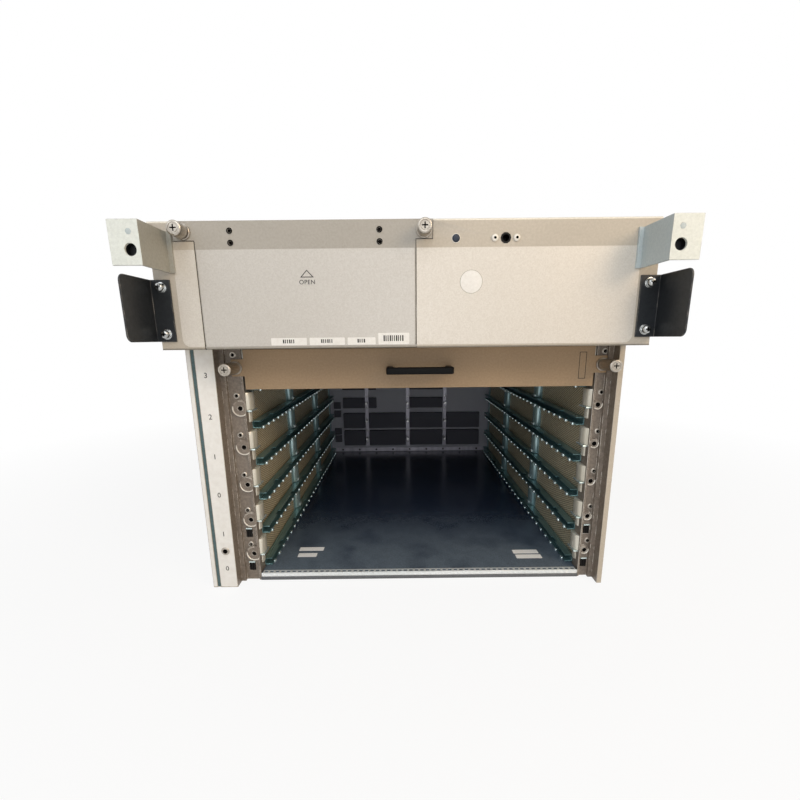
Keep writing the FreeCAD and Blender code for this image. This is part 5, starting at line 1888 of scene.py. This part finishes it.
    def add_columns(self, side: Side) -> None:
        """Rolled columns between the guides: one behind the post and one on each upright.

        Args:
            side: The side of the cage.
        """
        wall = Extent.of(f"guide_frame_{side.word}")
        x = wall.high.x if side is Side.LEFT else wall.low.x
        guides = [Extent.of(f"card_guide_{side.word}_{slot}") for slot in SLOTS]
        tops = [guide.low.z for guide in guides[1:]] + [wall.high.z]
        gaps = [(guide.high.z, top) for guide, top in zip(guides, tops)]
        front = self.flange + self.column_half + 0.6 * MM
        rows = [front] + [self.flange + self.cage_depth * bay / self.bays for bay in range(1, self.bays)]
        for number, y in enumerate(rows):
            barrels = []
            clips = []
            for low, high in gaps:
                height = high - low
                foot = low + height * self.tab_share if number == 0 else low + 0.4 * MM
                barrels.append(self.barrel(x, y, foot, high - 0.6 * MM, side, 1.0))
                if number == 0:
                    barrels.append(self.barrel(x, y, low + 0.3 * MM, foot - 2.2 * MM, side, 0.55))
                for share in (self.tab_share - 0.03,) if number == 0 else (0.1, 0.9):
                    clips.append(self.clip(x, y, low + height * share, side, number == 0))
            name = f"column_{side.word}_{number}"
            hand_over(gather(name, barrels), ZINC if number else CREAM_ZINC)
            hand_over(gather(f"{name}_clips", clips), BRIGHT_ZINC)

    def barrel(self, x: float, y: float, low: float, high: float, side: Side, share: float) -> Object:
        """A half-round column with rolled ends, on the inside of a guide frame.

        Args:
            x: The face of the frame.
            y: The middle of the column.
            low: Its foot.
            high: Its top.
            side: The side of the cage.
            share: How much of the full width it has.

        Returns:
            The column.
        """
        bpy.ops.object.select_all(action="DESELECT")
        bpy.ops.mesh.primitive_cylinder_add(vertices=28, radius=1, depth=high - low)
        piece = bpy.context.object
        piece.name = "barrel"
        piece.scale = (self.column_bulge * share, self.column_half * share, 1)
        bpy.ops.object.transform_apply()
        inward = (-side.value, 0, 0)
        with editing(piece):
            bpy.ops.mesh.select_all(action="SELECT")
            bpy.ops.mesh.bisect(plane_co=ORIGIN, plane_no=inward, use_fill=True, clear_inner=True)
        with_modifier(
            piece, "BEVEL", width=0.8 * MM, segments=2, limit_method="ANGLE", angle_limit=EDGE_ANGLE
        )
        stand(piece, Facing.UP, (x, y, (low + high) / 2))
        smooth(piece)
        return piece

    def clip(self, x: float, y: float, z: float, side: Side, wide: bool) -> Object:
        """A bright spring clip across a column.

        Args:
            x: The face of the guide frame.
            y: The middle of the column.
            z: The middle of the clip.
            side: The side of the cage.
            wide: Whether it is the wide flat tab of a front column.

        Returns:
            The clip.
        """
        half = self.column_half * (0.95 if wide else 0.5)
        rise = (0.9 if wide else 1.8) * MM
        reach = self.column_bulge + (0.2 if wide else 1.0) * MM
        ends = sorted((x, x - side.value * reach))
        low, high = (ends[0], y - half, z - rise), (ends[1], y + half, z + rise)
        return block("clip", low, high, chamfer=0.5 * MM)


@dataclass
class Backplane:
    """The backplane: board, connector blocks, pins, stiffeners, small sockets and sill strip."""

    # The light strips: their left edges and width in millimetres, and their screws.
    stiffeners: tuple[float, ...] = (-91.6, 6.0, 93.8)
    stiffener_width: float = 8.4
    stiffener_depth: float = 1.2 * MM
    row_screws: int = 9
    # The small sockets, in millimetres: their heights, left edge and size.
    sockets: tuple[float, ...] = (41.5, 59.7, 102.4, 122.7)
    socket_left: float = -165.0
    socket_size: float = 15.6
    socket_wall: float = 1.3 * MM
    board: Extent = field(default_factory=lambda: Extent.of("backplane_board"))

    def build(self) -> None:
        """Dress the board and what is on it."""
        dress_node("backplane_board", LAMINATE)
        dress_node("backplane_guide_pins", PIN_STEEL)
        for slot in SLOTS:
            node = f"slot_connectors_{slot}"
            stand_in(node, f"{node}_moulding", 0.5 * MM, CONNECTOR)
        self.add_stiffeners()
        self.add_sockets()
        self.add_sill_strip()

    def row(self, low: float, high: float) -> list[float]:
        """The places of a strip's screws, from one end of the strip to the other."""
        return [low + (high - low) * (step + 0.5) / self.row_screws for step in range(self.row_screws)]

    def add_stiffeners(self) -> None:
        """Light metal strips between the connector columns, with screws along them."""
        back = self.board.low.y
        front = back - self.stiffener_depth
        low, high = self.board.low.z + 10 * MM, self.board.high.z - 4 * MM
        strips = []
        places = []
        for left in self.stiffeners:
            right = left + self.stiffener_width
            foot, top = (left * MM, front, low), (right * MM, back, high)
            strips.append(block("strip", foot, top, chamfer=0.3 * MM))
            places += [((left + right) / 2 * MM, front, z) for z in self.row(low, high)]
        hand_over(gather("board_stiffeners", strips), STRIP_METAL)
        profile = [(0, 2.4), (0.8, 2.4), (1.3, 1.9), (1.5, 1.0)]
        hand_over(front_row("board_screws", profile, 16, places), PIN_STEEL)

    def add_sockets(self) -> None:
        """Small square sockets at the left edge of the board."""
        face = self.board.low.y
        half = self.socket_size / 2 * MM
        socket = block("small_socket", (0, -6 * MM, -half), (2 * half, 0, half))
        with editing(socket):
            pick_faces(socket, lambda centre, normal: normal.y < -SQUARE_ON)
            bpy.ops.mesh.inset(thickness=self.socket_wall)
            bpy.ops.mesh.extrude_region_move(TRANSFORM_OT_translate={"value": (0, 4.5 * MM, 0)})
        places = [(self.socket_left * MM, face, height * MM) for height in self.sockets]
        hand_over(at_places(socket, "board_sockets", places), CONNECTOR)

    def add_sill_strip(self) -> None:
        """The light strip along the foot of the board, with a row of screws."""
        deck = Extent.of("floor_deck")
        face = self.board.low.y
        low = (deck.low.x + 4 * MM, face - 1.6 * MM, deck.high.z + 0.3 * MM)
        high = (deck.high.x - 4 * MM, face, deck.high.z + 9.5 * MM)
        strip = block("board_foot_strip", low, high, chamfer=0.4 * MM)
        hand_over(strip, STRIP_METAL)
        places = [(x, low[1], (low[2] + high[2]) / 2) for x in self.row(low[0], high[0])]
        screws = front_row("foot_screws", [(0, 2.2), (0.8, 2.2), (1.3, 1.6)], 16, places)
        hand_over(screws, INK)


@dataclass
class SlotFiller:
    """The filler of the top slot: tan panel, black bar pull, outlined label and captive screws."""

    # The label's distance from the panel's right end, its width and height, and its outline.
    label_inset: float = 22.0 * MM
    label_size: Pair = (7.5 * MM, 28.0 * MM)
    label_line: float = 0.6 * MM
    body: str = "slot_filler"

    def build(self) -> None:
        """Dress the panel and its fittings."""
        # The panel's tan coat is darkened as painted shade under the bezel.
        stand_in("slot_filler_panel", "slot_filler_sheet", 0.4 * MM, FILLER_PAINT_AND_SHADE, self.body)
        pull = softened("filler_pull", "filler_pull_bar", 1.2 * MM, 3)
        hand_over(pull, PULL_PLASTIC, self.body, ["filler_pull"])
        box = Extent.of("slot_filler_panel")
        for side in Side:
            CaptiveScrew(f"filler_screw_{side.word}", box.low.y).build()
        self.add_label(box)

    def add_label(self, box: Extent) -> None:
        """A printed outline at the panel's right end, left blank.

        Args:
            box: The panel's box.
        """
        width, height = self.label_size
        middle = (box.low.z + box.high.z) / 2 + 1.0 * MM
        right = box.high.x - self.label_inset
        low = (right - width, box.low.y - 0.08 * MM, middle - height / 2)
        outline = block("filler_label_outline", low, (right, box.low.y, middle + height / 2))
        with editing(outline):
            pick_faces(outline, lambda centre, normal: abs(normal.y) > SQUARE_ON)
            bpy.ops.mesh.inset(thickness=self.label_line, use_individual=True)
            bpy.ops.mesh.bridge_edge_loops()
        hand_over(outline, INK, self.body)


@dataclass
class FanBay:
    """The fan trays behind the door and the fan rotors of each tray."""

    trays: int = 2
    fans: int = 3

    def build(self) -> None:
        """Dress the trays and the rotors."""
        for tray in range(self.trays):
            node = f"fan_tray_{tray}"
            stand_in(node, f"{node}_pan", 0.3 * MM, ZINC)
            for fan in range(self.fans):
                rotor = f"fan_rotor_{tray}_{fan}"
                stand_in(rotor, f"{rotor}_wheel", 0.5 * MM, ROTOR_PLASTIC, rotor)


# Studio


@dataclass(frozen=True)
class Lamp:
    """A soft square lamp that looks at the chassis."""

    name: str
    # Where it stands and its width, in metres, and its power in watts.
    place: Point
    size: float
    power: float
    tint: str = "#ffffff"

    def build(self, target: Vector) -> None:
        """Set the lamp up.

        Args:
            target: The point that it looks at.
        """
        light = bpy.data.lights.new(self.name, "AREA")
        light.size = self.size
        light.energy = self.power
        light.color = linear(self.tint)[:3]
        lamp = bpy.data.objects.new(self.name, light)
        bpy.context.collection.objects.link(lamp)
        lamp.location = self.place
        lamp.rotation_euler = (target - Vector(self.place)).to_track_quat("-Z", "Y").to_euler()


@dataclass
class Studio:
    """A pale floor, soft lamps, a white surround and the camera."""

    # The camera's place in metres, and how many degrees it is tipped down, turned right and rolled.
    eye: Point = (-5.036 * MM, -707.0 * MM, 278.413 * MM)
    pitch: float = 12.293
    yaw: float = 0.078
    roll: float = 0.604
    # Its focal length, optical middle and picture in pixels, and its sensor in millimetres.
    focal: float = 403.0
    middle: Pair = (402.08, 425.67)
    picture: int = 800
    sensor: float = 36.0
    # The level of the light from all round.
    ambient: float = 0.27
    floor_half: float = 6.0
    # How white the floor is beside the chassis, and from where to where it turns fully white.
    floor_white: float = 0.88
    shadow_reach: Pair = (0.45, 1.1)
    target: Point = (0, -0.3, 0.2)
    lamps: tuple[Lamp, ...] = (
        Lamp("left_key_lamp", (-1.1, -1.5, 1.2), 1.0, 4.4, "#eaf3ff"),
        Lamp("right_key_lamp", (1.1, -1.5, 1.2), 1.0, 5.6, "#fff0da"),
        Lamp("right_lamp", (0.8, -1.0, 0.75), 0.5, 3.2, "#ffdcae"),
        Lamp("front_lamp", (0.05, -1.7, 0.32), 0.5, 1.9, "#f4f8ff"),
        Lamp("top_lamp", (0.0, -1.5, 1.4), 1.0, 8.0, "#fbfdff"),
    )

    def build(self) -> None:
        """Set up the studio."""
        self.add_floor()
        self.add_surround()
        for lamp in self.lamps:
            lamp.build(Vector(self.target))
        self.add_camera()
        bpy.context.scene.view_settings.view_transform = "Standard"

    def add_floor(self) -> None:
        """The floor: matt and pale, and nearly white to the eye but for the shadow."""
        bpy.ops.object.select_all(action="DESELECT")
        bpy.ops.mesh.primitive_plane_add(size=self.floor_half * 2, location=(0, 0, -0.3 * MM))
        floor = bpy.context.object
        floor.name = "studio_floor"
        material = bpy.data.materials.new("pale_studio_floor")
        material.use_nodes = True
        tree = material.node_tree
        shader = tree.nodes["Principled BSDF"]
        feed(tree, shader, {"Base Color": linear("#f4f3f0"), "Roughness": 0.9, "Specular IOR Level": 0.1})
        glow = add_node(tree, "ShaderNodeEmission", {"Color": linear("#ffffff"), "Strength": 1.0})
        seen = self.seen_ray(tree)
        place = add_node(tree, "ShaderNodeTexCoord", out="Object")
        away = add_node(tree, "ShaderNodeVectorMath", {0: place}, "Value", operation="LENGTH")
        level = remap(tree, away, self.shadow_reach, (self.floor_white, 1))
        share = add_node(tree, "ShaderNodeMath", {0: seen, 1: level}, operation="MULTIPLY")
        mixed = add_node(tree, "ShaderNodeMixShader", {0: share, 1: shader.outputs[0], 2: glow})
        feed(tree, tree.nodes["Material Output"], {"Surface": mixed})
        floor.data.materials.append(material)

    @staticmethod
    def seen_ray(tree: NodeTree) -> NodeSocket:
        """Whether a ray comes from the eye, straight or by way of metal or glass.

        Args:
            tree: The node tree that asks.

        Returns:
            A socket with 1 for such a ray and 0 for any other.
        """
        seen = add_node(tree, "ShaderNodeLightPath", out="Is Camera Ray")
        for kind in ("Is Glossy Ray", "Is Transmission Ray"):
            either = {0: seen, 1: add_node(tree, "ShaderNodeLightPath", out=kind)}
            seen = add_node(tree, "ShaderNodeMath", either, operation="MAXIMUM")
        return seen

    def add_surround(self) -> None:
        """A white surround to the eye and in reflections, and a plain level of light."""
        world = bpy.data.worlds.new("white_surround")
        bpy.context.scene.world = world
        world.use_nodes = True
        tree = world.node_tree
        strength = remap(tree, self.seen_ray(tree), to=(self.ambient, 1))
        feed(tree, tree.nodes["Background"], {"Color": linear("#ffffff"), "Strength": strength})

    def add_camera(self) -> None:
        """The camera at the picture's point of view."""
        lens = bpy.data.cameras.new("studio_camera")
        lens.sensor_width = self.sensor
        lens.lens = self.focal * self.sensor / self.picture
        lens.shift_x = (self.picture / 2 - self.middle[0]) / self.picture
        lens.shift_y = (self.middle[1] - self.picture / 2) / self.picture
        camera = bpy.data.objects.new("studio_camera", lens)
        bpy.context.collection.objects.link(camera)
        pitch, yaw, roll = (math.radians(angle) for angle in (self.pitch, self.yaw, self.roll))
        ahead = Vector((math.cos(pitch) * math.sin(yaw), math.cos(pitch) * math.cos(yaw), -math.sin(pitch)))
        level = Vector((math.cos(yaw), -math.sin(yaw), 0))
        down = ahead.cross(level)
        right = level * math.cos(roll) + down * math.sin(roll)
        below = down * math.cos(roll) - level * math.sin(roll)
        turn = Matrix((right, -below, -ahead)).transposed()
        camera.matrix_world = Matrix.Translation(Vector(self.eye)) @ turn.to_4x4()
        bpy.context.scene.camera = camera


def main() -> None:
    """Build every sub-assembly, the studio and the camera."""
    logging.basicConfig(level=logging.INFO, format="%(name)s %(message)s")
    parts = (Case, Bezel, RackFixing, CornerPosts, CardCage, Backplane, SlotFiller, FanBay, Studio)
    for part in parts:
        part().build()
        LOG.info("%s done", part.__name__)


if __name__ == "__main__":
    main()
